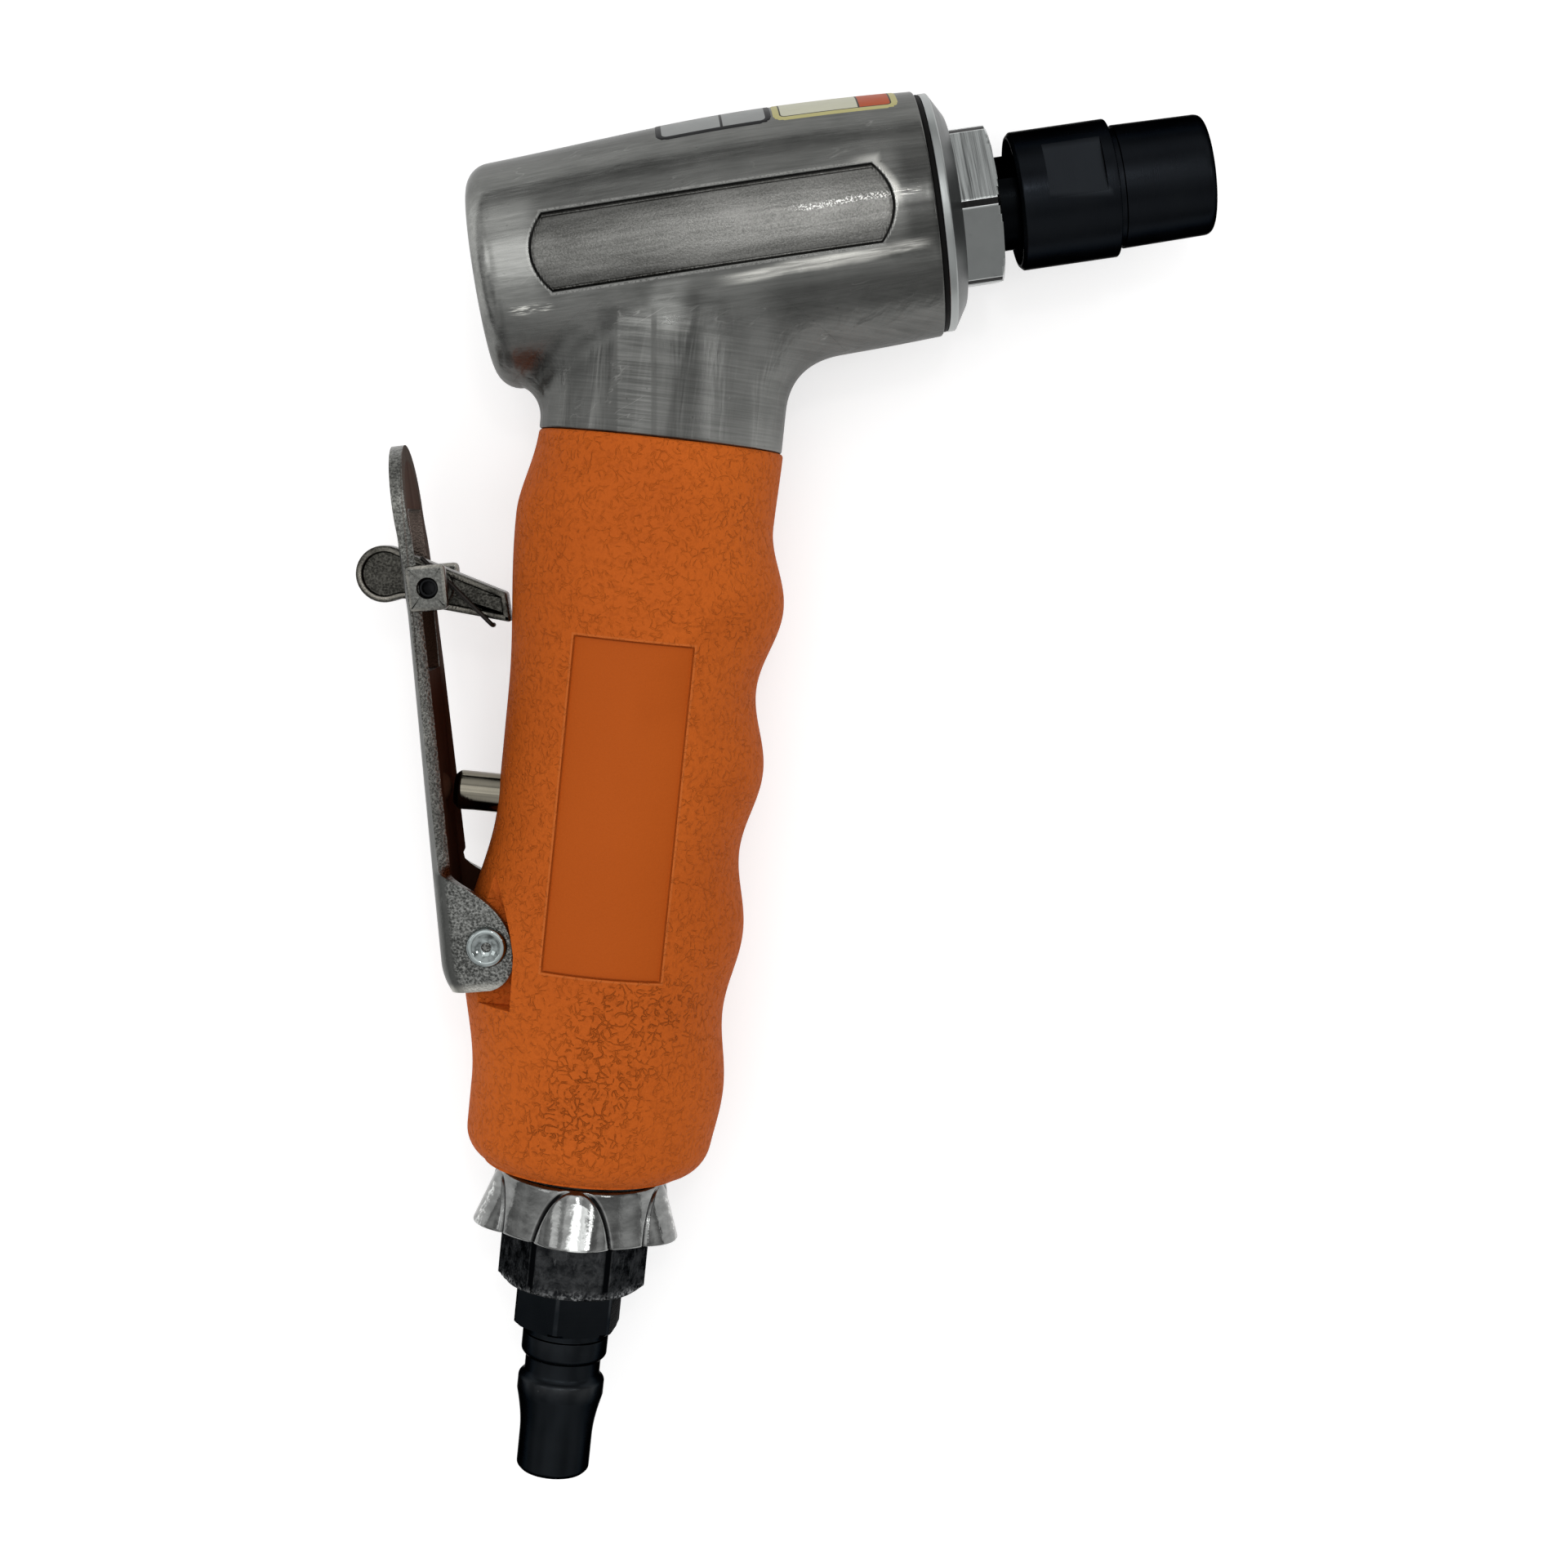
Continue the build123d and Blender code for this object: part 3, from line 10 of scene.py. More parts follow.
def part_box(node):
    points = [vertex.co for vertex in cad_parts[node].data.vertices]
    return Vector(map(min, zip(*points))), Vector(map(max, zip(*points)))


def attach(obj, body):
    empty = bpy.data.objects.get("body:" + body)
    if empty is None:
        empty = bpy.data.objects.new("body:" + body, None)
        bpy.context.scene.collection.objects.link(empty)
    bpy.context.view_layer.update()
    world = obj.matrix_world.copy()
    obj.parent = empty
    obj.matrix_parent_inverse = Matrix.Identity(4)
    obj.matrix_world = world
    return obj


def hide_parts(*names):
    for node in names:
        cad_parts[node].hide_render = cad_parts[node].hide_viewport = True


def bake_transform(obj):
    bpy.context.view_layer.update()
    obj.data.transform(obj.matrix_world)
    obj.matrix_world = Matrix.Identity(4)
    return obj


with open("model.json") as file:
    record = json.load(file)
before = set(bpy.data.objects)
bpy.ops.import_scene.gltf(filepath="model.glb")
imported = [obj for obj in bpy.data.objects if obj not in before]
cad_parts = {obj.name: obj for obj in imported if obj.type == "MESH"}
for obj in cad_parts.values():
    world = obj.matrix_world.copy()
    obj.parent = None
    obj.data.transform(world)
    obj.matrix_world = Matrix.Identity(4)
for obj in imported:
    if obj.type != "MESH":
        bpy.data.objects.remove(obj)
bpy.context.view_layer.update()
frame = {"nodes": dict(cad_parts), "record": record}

CROSS = np.array([-17.34525, 74.73239, 17.2])
TILT, LEAN, DROOP = np.radians([14.4, 10.75, 9.0])
PIVOT, LATCH_PIN, VALVE_Y = (-15.8, -98.2), (-28.663, -49.749), -77.9
SEAM, FOOT, BUSHING_TOP, PLUG_TOP = -26.2, -130.0, -139.4, -147.6
BACK_AT, BACK_R, BACK_ROUND = -23.4, 11.9, 3.6
FULL_AT, FULL_R, MOUTH = 14.0, 17.4, 34.7
PANEL_BACK, PANEL_FRONT, PANEL_BOW, PANEL_MID, PANEL_HALF = -16.6, 27.8, 2.3, 0.7, 5.3
PLATE_MID, PLATE_HALF, PLATE_TOP, PLATE_LOW = 0.5, 8.2, -53.7, -100.0
KNOB_TOP, KNOB_TALL = -130.5, 8.5


# ---------------------------------------------------------------- places

def side(x, y, z):
    """Points of the handle's frame, from arrays that broadcast together."""
    return np.stack(np.broadcast_arrays(x, y, z), -1).astype(float)


def turned(a, b, z, origin, angle):
    """Points of a frame that stands at an origin in the side view and is turned there by an angle."""
    c, s = np.cos(angle), np.sin(angle)
    return side(origin[0] + a * c - b * s, origin[1] + a * s + b * c, z)


def head(t, q, z):
    """Points of the head's frame: t along the spindle, q square to it, z to the viewer."""
    return turned(t, q, z, (0, 0), TILT)


def handle(y, a, b):
    """Points about the handle's axis: y along it, a to the front, b to the viewer."""
    return side(a, y, b)


def lever(x, y, z):
    """Points of the lever's frame: x towards the handle, y up the lever."""
    return turned(x, y, z, PIVOT, LEAN)


def latch(x, y, z):
    """Points of the latch's frame: x along its arm, which droops."""
    return turned(x, y, z, LATCH_PIN, -DROOP)


def valve(x, b, z):
    """Points about the valve's axis: x along it."""
    return side(x, VALVE_Y + b, z)


def metres(point):
    """A point of the handle's frame in the part's own frame."""
    return (np.array(point) + CROSS) / 1000


# ---------------------------------------------------------------- skins

def grid_faces(nu, nv, loop_u, loop_v):
    """Four-sided faces of a grid of nu by nv points, closed round in a direction that loops."""
    i = np.arange(nu if loop_u else nu - 1)[:, None]
    j = np.arange(nv if loop_v else nv - 1)[None, :]
    i, j = np.broadcast_arrays(i, j)
    k, m = (i + 1) % nu, (j + 1) % nv
    return np.stack([i * nv + j, k * nv + j, k * nv + m, i * nv + m], -1).reshape(-1, 4)


def smooth(mesh, sharp):
    """Shades a mesh smooth up to an angle in degrees."""
    mesh.polygons.foreach_set("use_smooth", np.ones(len(mesh.polygons), bool))
    mesh.set_sharp_from_angle(angle=np.radians(sharp))


def shell(name, body, slot, finish, *grids, stands_for=(), sharp=32, **marks):
    """Joins grids (points, loop_u, loop_v) into one skin, welds its seams and poles and turns it outwards. marks are
    numbers for the points of each grid, kept as attributes that the finish reads. A skin without a body is left
    unattached."""
    faces, start = [], 0
    for points, loop_u, loop_v in grids:
        faces.append(grid_faces(*points.shape[:2], loop_u, loop_v) + start)
        start += points.shape[0] * points.shape[1]
    points = metres(np.concatenate([g[0].reshape(-1, 3) for g in grids]))
    faces = np.concatenate(faces)
    mesh = bpy.data.meshes.new(name)
    mesh.vertices.add(len(points))
    mesh.vertices.foreach_set("co", points.ravel())
    mesh.loops.add(faces.size)
    mesh.loops.foreach_set("vertex_index", faces.ravel())
    mesh.polygons.add(len(faces))
    mesh.polygons.foreach_set("loop_start", np.arange(0, faces.size, 4))
    mesh.update(calc_edges=True)
    for label, values in marks.items():
        values = [np.broadcast_to(v, g[0].shape[:2]).ravel() for v, g in zip(values, grids)]
        layer = mesh.attributes.new(label, "FLOAT", "POINT")
        layer.data.foreach_set("value", np.concatenate(values).astype(np.float32))
    soft = bmesh.new()
    soft.from_mesh(mesh)
    bmesh.ops.remove_doubles(soft, verts=soft.verts, dist=2e-6)
    bmesh.ops.dissolve_degenerate(soft, edges=soft.edges, dist=1e-6)
    bmesh.ops.recalc_face_normals(soft, faces=soft.faces)
    soft.to_mesh(mesh)
    soft.free()
    smooth(mesh, sharp)
    piece = bpy.data.objects.new(name, mesh)
    bpy.context.scene.collection.objects.link(piece)
    mesh.materials.append(finish)
    if body:
        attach(piece, body)
    if stands_for:
        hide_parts(*stands_for)
    return piece


def unit(v):
    return v / np.linalg.norm(v, axis=-1, keepdims=True)


def parabola(a, m, b, u):
    """A parabola from a to b that leaves and arrives pointing at m."""
    return (1 - u) ** 2 * a + 2 * u * (1 - u) * m + u ** 2 * b


def rounded(corners, steps=6, closed=False):
    """A line through corners (place, radius, round): each corner gives way to a parabola that leaves one side and meets
    the other a round away from it. On a closed line a round takes less than half a side."""
    p = np.array(corners, float)
    u = np.linspace(0, 1, steps)[:, None]
    rows = []
    for i, (here, ease) in enumerate(zip(p[:, :2], p[:, 2])):
        before, after = p[i - 1, :2] - here, p[(i + 1) % len(p), :2] - here
        if closed:
            ease = min(ease, 0.49 * np.linalg.norm(before), 0.49 * np.linalg.norm(after))
        if ease == 0 or not closed and i in (0, len(p) - 1):
            rows.append(here[None])
        else:
            rows.append(parabola(here + unit(before) * ease, here, here + unit(after) * ease, u))
    return np.concatenate(rows)


def angles(steps):
    return np.linspace(0, 2 * np.pi, steps, endpoint=False)


def polar(place, along, r, a):
    """Points at a radius and an angle about an axis: (along, r cos a, r sin a)."""
    return place(along, r * np.cos(a), r * np.sin(a))


def spun(place, profile, steps=128):
    """A profile of (along, radius) rows carried round an axis."""
    return polar(place, profile[:, :1], profile[:, 1:2], angles(steps)), False, True


def step(x, low, high):
    """A smooth step from 0 to 1 between two values."""
    s = np.clip((x - low) / (high - low), 0, 1)
    return s * s * (3 - 2 * s)


def bell(x, middle, width):
    """A hump of height 1: e to the minus square of the distance in widths."""
    return np.exp(-((x - middle) / width) ** 2)


def inside_of(x, y, corner):
    """Distance inside a rectangle with round corners, from the distances inside its sides."""
    m, n = corner - x, corner - y
    return corner - np.hypot(np.maximum(m, 0), np.maximum(n, 0)) - np.minimum(np.maximum(m, n), 0)


def hex_bar(place, flats, bar_r, turn, rows, after, before=()):
    """A hexagon milled from round bar, its radius half the flats over the cosine: rows (along, most) hold it down at
    the turned edges, the profiles before and after it are round, and the skin closes on itself. Every flat has two close
    lines at each end. Also gives marks that are 1 on the bar's round left at the corners, and on the last edge."""
    half, sixth = np.arccos(flats / 2 / bar_r), np.pi / 3
    one = np.concatenate([[-half], np.linspace(-half + 0.006, half - 0.006, 10),
                          np.linspace(half, sixth - half, 10)[:-1]])
    from_flat = np.abs((one + sixth / 2) % sixth - sixth / 2)
    dark = np.tile(from_flat > 0.72 * half + 0.28 * sixth / 2, 6)
    a = (np.arange(6)[:, None] * sixth + one).ravel()
    b = (a + sixth / 2) % sixth - sixth / 2
    along, most = np.array(rows).T[:, :, None]
    before, after = np.reshape(before, (-1, 2)), np.array(after)
    hexes = np.minimum(np.minimum(flats / 2 / np.cos(b), bar_r), most)
    t = np.concatenate([before[:, :1], along, after[:, :1]])
    r = np.concatenate([before[:, 1:] + 0 * a, hexes, after[:, 1:] + 0 * a])
    corner, rim = np.zeros(r.shape), np.zeros(r.shape)
    own = slice(len(before), len(before) + len(rows))
    corner[own] = dark & (most > bar_r - 0.02)
    rim[own] = bell(along, along[-1] + 0.35, 0.5)
    return (polar(place, t, r, a + turn), True, True), corner, rim


# ---------------------------------------------------------------- finishes

def grey(level):
    return level, level, level


def times(k, colour):
    return tuple(k * c for c in colour)


class Wire:
    """A socket of a finish. Arithmetic on it adds Math nodes."""

    def __init__(self, finish, socket):
        self.finish, self.socket = finish, socket

    def sum_of(self, kind, *others):
        return self.finish.node("ShaderNodeMath", {"operation": kind}, dict(enumerate(others)))

    def __add__(self, o): return self.sum_of("ADD", self, o)
    def __radd__(self, o): return self.sum_of("ADD", o, self)
    def __sub__(self, o): return self.sum_of("SUBTRACT", self, o)
    def __rsub__(self, o): return self.sum_of("SUBTRACT", o, self)
    def __mul__(self, o): return self.sum_of("MULTIPLY", self, o)
    def __rmul__(self, o): return self.sum_of("MULTIPLY", o, self)
    def __truediv__(self, o): return self.sum_of("DIVIDE", self, o)
    def __abs__(self): return self.sum_of("ABSOLUTE", self)
    def most(self, o): return self.sum_of("MAXIMUM", self, o)
    def least(self, o): return self.sum_of("MINIMUM", self, o)

    def step(self, low, high, bottom=0.0, top=1.0):
        """A smooth step between two values of this socket."""
        return self.finish.node("ShaderNodeMapRange", {"interpolation_type": "SMOOTHSTEP"},
                                {"Value": self, "From Min": low, "From Max": high, "To Min": bottom, "To Max": top})

    def band(self, low, high, fall, end):
        """A smooth step up between the first two values and down between the last two."""
        return self.step(low, high) * self.step(end, fall)


class Finish:
    """A material, or the room around, with its one shader and the nodes that feed it."""

    def __init__(self, name, owner=None, shader="Principled BSDF", **constants):
        self.material = owner or bpy.data.materials.new(name)
        self.material.use_nodes = True
        self.tree = self.material.node_tree
        self.shader = self.tree.nodes[shader]
        self.put(**constants)
        self.spot = self.node("ShaderNodeTexCoord", out="Object")

    def node(self, kind, settings=None, sockets=None, out=0):
        """Any node: its settings first, then the values or links of its sockets."""
        made = self.tree.nodes.new(kind)
        for key, value in (settings or {}).items():
            setattr(made, key, value)
        for key, value in (sockets or {}).items():
            self.feed(made.inputs[key], value)
        return Wire(self, made.outputs[out])

    def feed(self, socket, value):
        if isinstance(value, Wire):
            self.tree.links.new(value.socket, socket)
        elif socket.type == "RGBA":
            socket.default_value = (*value, 1)
        else:
            socket.default_value = value

    def put(self, **sockets):
        """Feeds the shader's own sockets."""
        for key, value in sockets.items():
            self.feed(self.shader.inputs[key.replace("_", " ")], value)
        return self.material

    def done(self, base, rough, height, strength, deep, under=None):
        """The finished material: its colour, its roughness and a bump of a height."""
        return self.put(Base_Color=base, Roughness=rough, Normal=self.bump(height, strength, deep, under))

    def laid(self, scale, turn=0.0, shift=(0, 0, 0)):
        """Object coordinates turned about z and stretched by a scale for each axis."""
        return self.node("ShaderNodeMapping", {"vector_type": "TEXTURE"},
                         {"Vector": self.spot, "Location": tuple(metres(shift)),
                          "Rotation": (0, 0, turn), "Scale": tuple(1 / np.array(scale, float))})

    def noise(self, scale, detail=4.0, rough=0.55, twist=0.0, turn=0.0, shift=(0, 0, 0), where=None):
        """Cloudy noise; three scales draw it out along axes turned about z."""
        if np.ndim(scale):
            where, scale = self.laid(scale, turn, shift), 1.0
        return self.node("ShaderNodeTexNoise", None, {"Vector": where or self.spot, "Scale": scale, "Detail": detail,
                                                      "Roughness": rough, "Distortion": twist})

    def hairs(self, scale, twist, turn, wide, core):
        """Fine scratches along the middle level of a drawn-out noise."""
        return abs(self.noise(scale, 2.0, 0.6, twist, turn) * 2.0 - 1.0).step(wide, core)

    def cells(self, scale, feature="F1", where=None):
        return self.node("ShaderNodeTexVoronoi", {"feature": feature}, {"Vector": where or self.spot, "Scale": scale})

    def mark(self, name):
        return self.node("ShaderNodeAttribute", {"attribute_name": name}, out="Fac")

    def mix(self, amount, one, other, how="MIX"):
        """One colour over another."""
        return self.node("ShaderNodeMix", {"data_type": "RGBA", "blend_type": how},
                         {"Factor": amount, 6: one, 7: other}, out=2)

    def coats(self, base, *coats):
        """Coats (amount, colour) over a base, one after another."""
        for amount, colour in coats:
            base = self.mix(amount, base, colour)
        return base

    def bump(self, height, strength, deep, under=None):
        sockets = {"Height": height, "Strength": strength, "Distance": deep}
        if under is not None:
            sockets["Normal"] = under
        return self.node("ShaderNodeBump", None, sockets)

    def axis(self, where, number):
        return self.node("ShaderNodeSeparateXYZ", None, {0: where}, out=number)

    def place(self, turn=0.0, shift=(0, 0, 0)):
        """Millimetres from a place, along axes turned about z."""
        where = self.laid(grey(1000), turn, shift)
        return [self.axis(where, number) for number in range(3)]


def polished_casting():
    """Aluminium polished by hand: streaks along the head; fine rings and long soft facets on the neck; a rough panel
    floor with a dark line round it, darker along its lower edge and just inside its wall. Painted light and shade:
    painted reflections of three flats on the neck, lighter and darker places over the head and neck, and painted
    highlights in light lines along the ridges, in glints and in a bright band along the panel floor."""
    f = Finish("polished_casting", Metallic=1.0, Specular_Tint=grey(0.6))
    t, q = f.place(TILT)[:2]
    x, y = f.place()[:2]
    across = (q - PANEL_MID) / PANEL_HALF
    bulge = PANEL_BOW * (1.0 - across * across).most(0.0)
    inside = (t - PANEL_BACK + bulge).least(PANEL_FRONT + bulge - t).least(PANEL_HALF - abs(q - PANEL_MID))
    floor, line = inside.step(0.05, 0.25), inside.band(-0.12, 0.02, 0.16, 0.42)
    neck, below = q.step(-8.0, -15.0), q.step(-6.5, -9.0)
    streak = f.noise((60, 1300, 1300), 6.0, 0.62, 0.3, TILT)
    fine = f.noise((220, 4800, 4800), 3.0, turn=TILT)
    rings = f.noise((90, 3000, 90), 3.0, 0.6)
    facets = f.noise((330, 40, 330), 3.0, 0.5, 0.4)
    cloud = f.noise(70.0, 4.0, 0.5, 0.6)
    grains, pits = f.noise(3300.0, 2.0, 0.7), f.noise(4000.0, 2.0, 0.65)
    specks = f.cells(640.0).step(0.04, 0.14)
    sway, ripple = cloud - 0.5, rings - 0.5
    lines = neck * (rings * 0.6 + facets * 0.4) + (1.0 - neck) * (streak * 0.6 + fine * 0.4)
    hair = f.hairs((40, 420, 420), 0.4, TILT + 0.35, 0.022, 0.004) * f.noise(160.0, 2.0).step(0.56, 0.64)
    shade = (lines - 0.5) * 1.1 + sway * 0.8 + 0.5
    base = f.mix(shade.step(0.1, 0.9), (0.098, 0.100, 0.095), (0.212, 0.214, 0.205))
    # The neck's three flats are painted reflections only, lighter and darker in the colour, with painted shade between
    # them.
    slant = x + 0.1 * (y + 17.5) + ripple * 0.3
    painted_facet_a = slant.band(-5.6, -5.2, -1.0, -0.7) * below
    painted_facet_b = slant.step(-0.25, 0.05) * (slant - 0.255 * (y + 16.7)).step(3.4, 2.7) * below
    painted_facet_c = slant.band(5.0, 5.8, 7.6, 8.6) * y.step(-18.0, -12.0) * below
    flats = painted_facet_a.most(painted_facet_b)
    between = slant.band(-9.5, -6.0, 5.0, 7.0) * (1.0 - flats) * below
    # Painted light and shade over the casting: lighter at the back and upper left, darker on top, at the front end and
    # low under the panel, lighter on the neck's front, painted highlights fanning above the neck and glinting on the
    # flats.
    painted_light_and_shade = (1.0 + 0.70 * t.step(-16.5, -19.5) * abs(q - 1.5).step(9.0, 5.5)
            - 0.14 * q.band(6.0, 6.6, 7.4, 8.6) - 0.05 * q.step(7.8, 9.8)
            + 0.28 * t.step(-11.0, -18.0) * q.step(4.0, 7.0)
            - 0.55 * t.step(29.8, 32.5) * abs(q - 1.0).step(8.5, 4.0) * (1.0 - 0.8 * abs(q - 1.2).step(1.5, 0.5))
            - (0.16 + 0.36 * t.step(9.0, 15.0)) * q.step(-6.5, -9.5) * t.step(4.0, 12.0)
            + neck * 0.35 * x.step(3.0, 9.0) - 0.44 * between + 0.14 * painted_facet_c
            + painted_facet_a * (ripple * 0.9 - 0.26) + painted_facet_b * (ripple * 0.3 - 0.34)
            + 0.55 * abs(x - 0.4).step(3.4, 1.0) * q.band(-12.0, -8.0, -6.0, -5.0)
            + 0.34 * abs(y + 11.4 + sway * 1.5).step(1.8, 0.2) * flats * rings.step(0.2, 0.7))
    base = f.mix(1.0, base, painted_light_and_shade, "MULTIPLY")
    rough_cast = (pits * 0.34 + streak * 0.40 + cloud * 0.26).step(0.30, 0.70)
    cast = f.mix(rough_cast, (0.080, 0.080, 0.075), (0.240, 0.239, 0.227))
    # Painted highlight: the panel floor is lighter towards the front and along its middle.
    cast = f.mix(1.0, cast, 0.70 + 0.40 * t.step(-17.0, 22.0) + 0.16 * abs(q - 0.4).step(4.8, 1.0), "MULTIPLY")
    # Painted highlights: glints along the panel's middle, a bright strip under the panel, glints low at the back and a
    # crescent outside the panel's front end; bright gathers them.
    glint = abs(q - 1.5 + sway * 1.6).step(0.60, 0.15) * t.band(15.5, 18.5, 32.0, 34.5)
    cast = f.mix(glint * pits.step(0.50, 0.60) * 0.8, cast, (0.85, 0.85, 0.82))
    strip = abs(q + 6.5 - 0.027 * t + sway * 2.2).step(1.1, 0.25) * t.band(4.0, 11.0, 31.5, 35.0)
    strip = strip * (0.30 + 0.70 * streak.step(0.36, 0.60))
    corner = abs(q + 6.4 + sway * 2.0).step(0.7, 0.2) * t.band(-23.5, -21.5, -18.5, -16.5)
    painted_rim_crescent = inside.band(-1.6, -0.35, -0.2, -0.1) * t.step(24.0, 28.5) * q.step(-1.0, 3.0)
    bright = strip.most(corner * fine.step(0.50, 0.62)).most(painted_rim_crescent * 0.6).most(glint * fine.step(0.52, 0.60) * 0.9)
    # Darker along the panel's lower edge and just inside its wall, broken by grains.
    low_edge_dark = (q.step(-3.5, -4.6) * t.step(20.0, -6.0) + inside.step(0.8, 0.1) * 0.35) * floor * grains.step(0.40, 0.58)
    base = f.coats(base, (hair * 0.3, (0.34, 0.34, 0.325)), (bright * 0.9, (0.80, 0.795, 0.745)), (floor, cast),
                   (low_edge_dark.least(1.0) * 0.9, (0.018, 0.016, 0.013)), (line * (0.75 + 0.25 * grains), grey(0.006)),
                   # painted highlight: a light line just outside the panel's edge
                   (inside.band(-0.55, -0.30, -0.2, -0.10) * grains.step(0.3, 0.6) * 0.6, (0.40, 0.40, 0.385)),
                   ((1.0 - specks) * 0.5 * cloud.step(0.52, 0.66), (0.03, 0.03, 0.028)))
    rough = 0.25 + (lines - 0.5) * 0.24 + sway * 0.16 + line * 0.2 + neck * 0.12 + floor * 0.08
    broad = f.bump(facets * neck * 2.2 + cloud * (1.0 - floor), 0.5, 0.00030)
    height = lines * 0.7 * (1.0 - floor) + floor * (pits * 1.8 + grains * 0.5) + specks * 0.3
    return f.done(base, rough, height, 0.25, 0.00010, broad)


def orange_rubber():
    """Moulded rubber: a broken network of creases, faint on most of it and deep in a band above the foot, with painted
    shade in the creases and in the hollows of its fine pebble, a few dark specks, and a bare smooth plate on each
    cheek with a painted shade line inside its edge and a painted highlight line outside."""
    f = Finish("orange_rubber", Specular_IOR_Level=0.10)
    x, y = f.place()[:2]
    middle, tall = (PLATE_TOP + PLATE_LOW) / 2, (PLATE_TOP - PLATE_LOW) / 2
    inside = (PLATE_HALF - abs(x - PLATE_MID)).least(tall - abs(y - middle))
    plate = inside.step(-0.05, 0.10)
    creased = 1.0 - plate
    band = abs(x - 7.0 - 0.385 * (y + 102.0)).step(10.5, 1.0) * y.band(-127.5, -122.0, -104.0, -98.0)
    patch = f.noise(55.0, 3.0, 0.55, 0.5)
    deep = (band * (0.45 + 0.55 * patch.step(0.36, 0.6)) + patch.step(0.56, 0.74) * 0.30).least(1.0)
    drift = f.node("ShaderNodeTexNoise", None, {"Vector": f.spot, "Scale": 300.0, "Detail": 2.0}, out="Color")
    astray = f.node("ShaderNodeVectorMath", {"operation": "MULTIPLY_ADD"}, {0: drift, 1: grey(0.0042), 2: f.spot})
    gate = f.noise(850.0, 2.0).step(0.42, 0.60)
    crease_and_shade = f.cells(800.0, "DISTANCE_TO_EDGE", astray).step(0.12, 0.03) * (0.08 + 0.92 * gate) * creased
    swell = f.noise(1300.0, 2.0, 0.5) * creased
    specks = (1.0 - f.cells(260.0).step(0.035, 0.075)) * f.noise(180.0, 1.0).step(0.58, 0.70)
    smudge = f.noise(grey(48.0), 2.0, shift=(4, 7, 0)).step(0.62, 0.78)
    grain = f.noise(3000.0, 2.0)
    base = f.mix(f.noise(24.0).step(0.25, 0.75), (0.510, 0.0990, 0.0098), (0.632, 0.1325, 0.0146))
    base = f.coats(base, (smudge * 0.35, (0.36, 0.062, 0.004)),
                   # painted shade in the hollows of the fine pebble
                   (swell.step(0.52, 0.30) * creased * 0.22, (0.24, 0.042, 0.003)),
                   (plate * 0.7, (0.440, 0.078, 0.0050)),
                   # painted shade in the creases, deeper in the band above the foot
                   (crease_and_shade * (0.05 + 0.30 * deep), (0.130, 0.026, 0.0034)),
                   (specks * creased * 0.85, (0.045, 0.014, 0.006)),
                   # painted shade line just inside the plate's edge, painted highlight line just outside it
                   (inside.band(-0.06, 0.06, 0.14, 0.30) * 0.55, (0.15, 0.026, 0.002)),
                   (inside.band(-0.42, -0.22, -0.12, 0.0) * 0.45, (0.62, 0.17, 0.04)))
    rough = 0.56 + creased * 0.10 + (grain - 0.5) * 0.12 + crease_and_shade * 0.1
    height = swell * (0.40 + 0.2 * deep) - crease_and_shade * (0.30 + 0.8 * deep) + grain * 0.15
    return f.done(base, rough, height, 0.9, 0.00046)


def bright_plating(name, tint, rough, scratch):
    """Zinc plating: a little blue. One side of the hexagon is dressed, with strokes square to the spindle and dark
    pits; the flange is darker, with a painted highlight along its rim; where marked as a corner it is dark, and in
    the pin's hole that dark is painted shade."""
    f = Finish(name, Metallic=1.0)
    t, q, z = f.place(TILT)
    dressed, flange = q.step(-0.9, -0.4) * scratch, t.step(39.5, 39.2) * scratch
    drawn = f.noise((2800, 55, 55), 5.0, 0.65, turn=TILT)
    cloud = f.noise(220.0, 4.0, 0.6)
    pits, few = f.cells(620.0).step(0.08, 0.30), f.noise(200.0, 3.0).step(0.52, 0.66)
    dark, light, corner = times(0.55, tint), times(2.3, tint), f.mark("corner")
    base = f.mix(drawn.step(0.3, 0.72) * dressed + (1.0 - dressed) * cloud * 0.35, tint, light)
    base = f.coats(base, (drawn.step(0.46, 0.30) * dressed, dark),
                   ((1.0 - pits) * few * (0.25 + 0.65 * dressed), grey(0.012)),
                   # the flange darker, with a painted highlight along its rim
                   (flange * 0.95, dark), (flange * (q * q + z * z).step(255.0, 263.0) * 0.8, light),
                   (corner.band(0.02, 0.2, 0.4, 0.7) * 0.8, (0.62, 0.63, 0.63)),
                   (corner.step(0.5, 0.8), f.mix(drawn, grey(0.003), grey(0.016))))
    rough = rough + (drawn - 0.5) * 0.25 * dressed + (cloud - 0.5) * 0.10 + flange * 0.14
    return f.done(base, rough, drawn * dressed + pits * few * 0.5, 0.18, 0.00008)


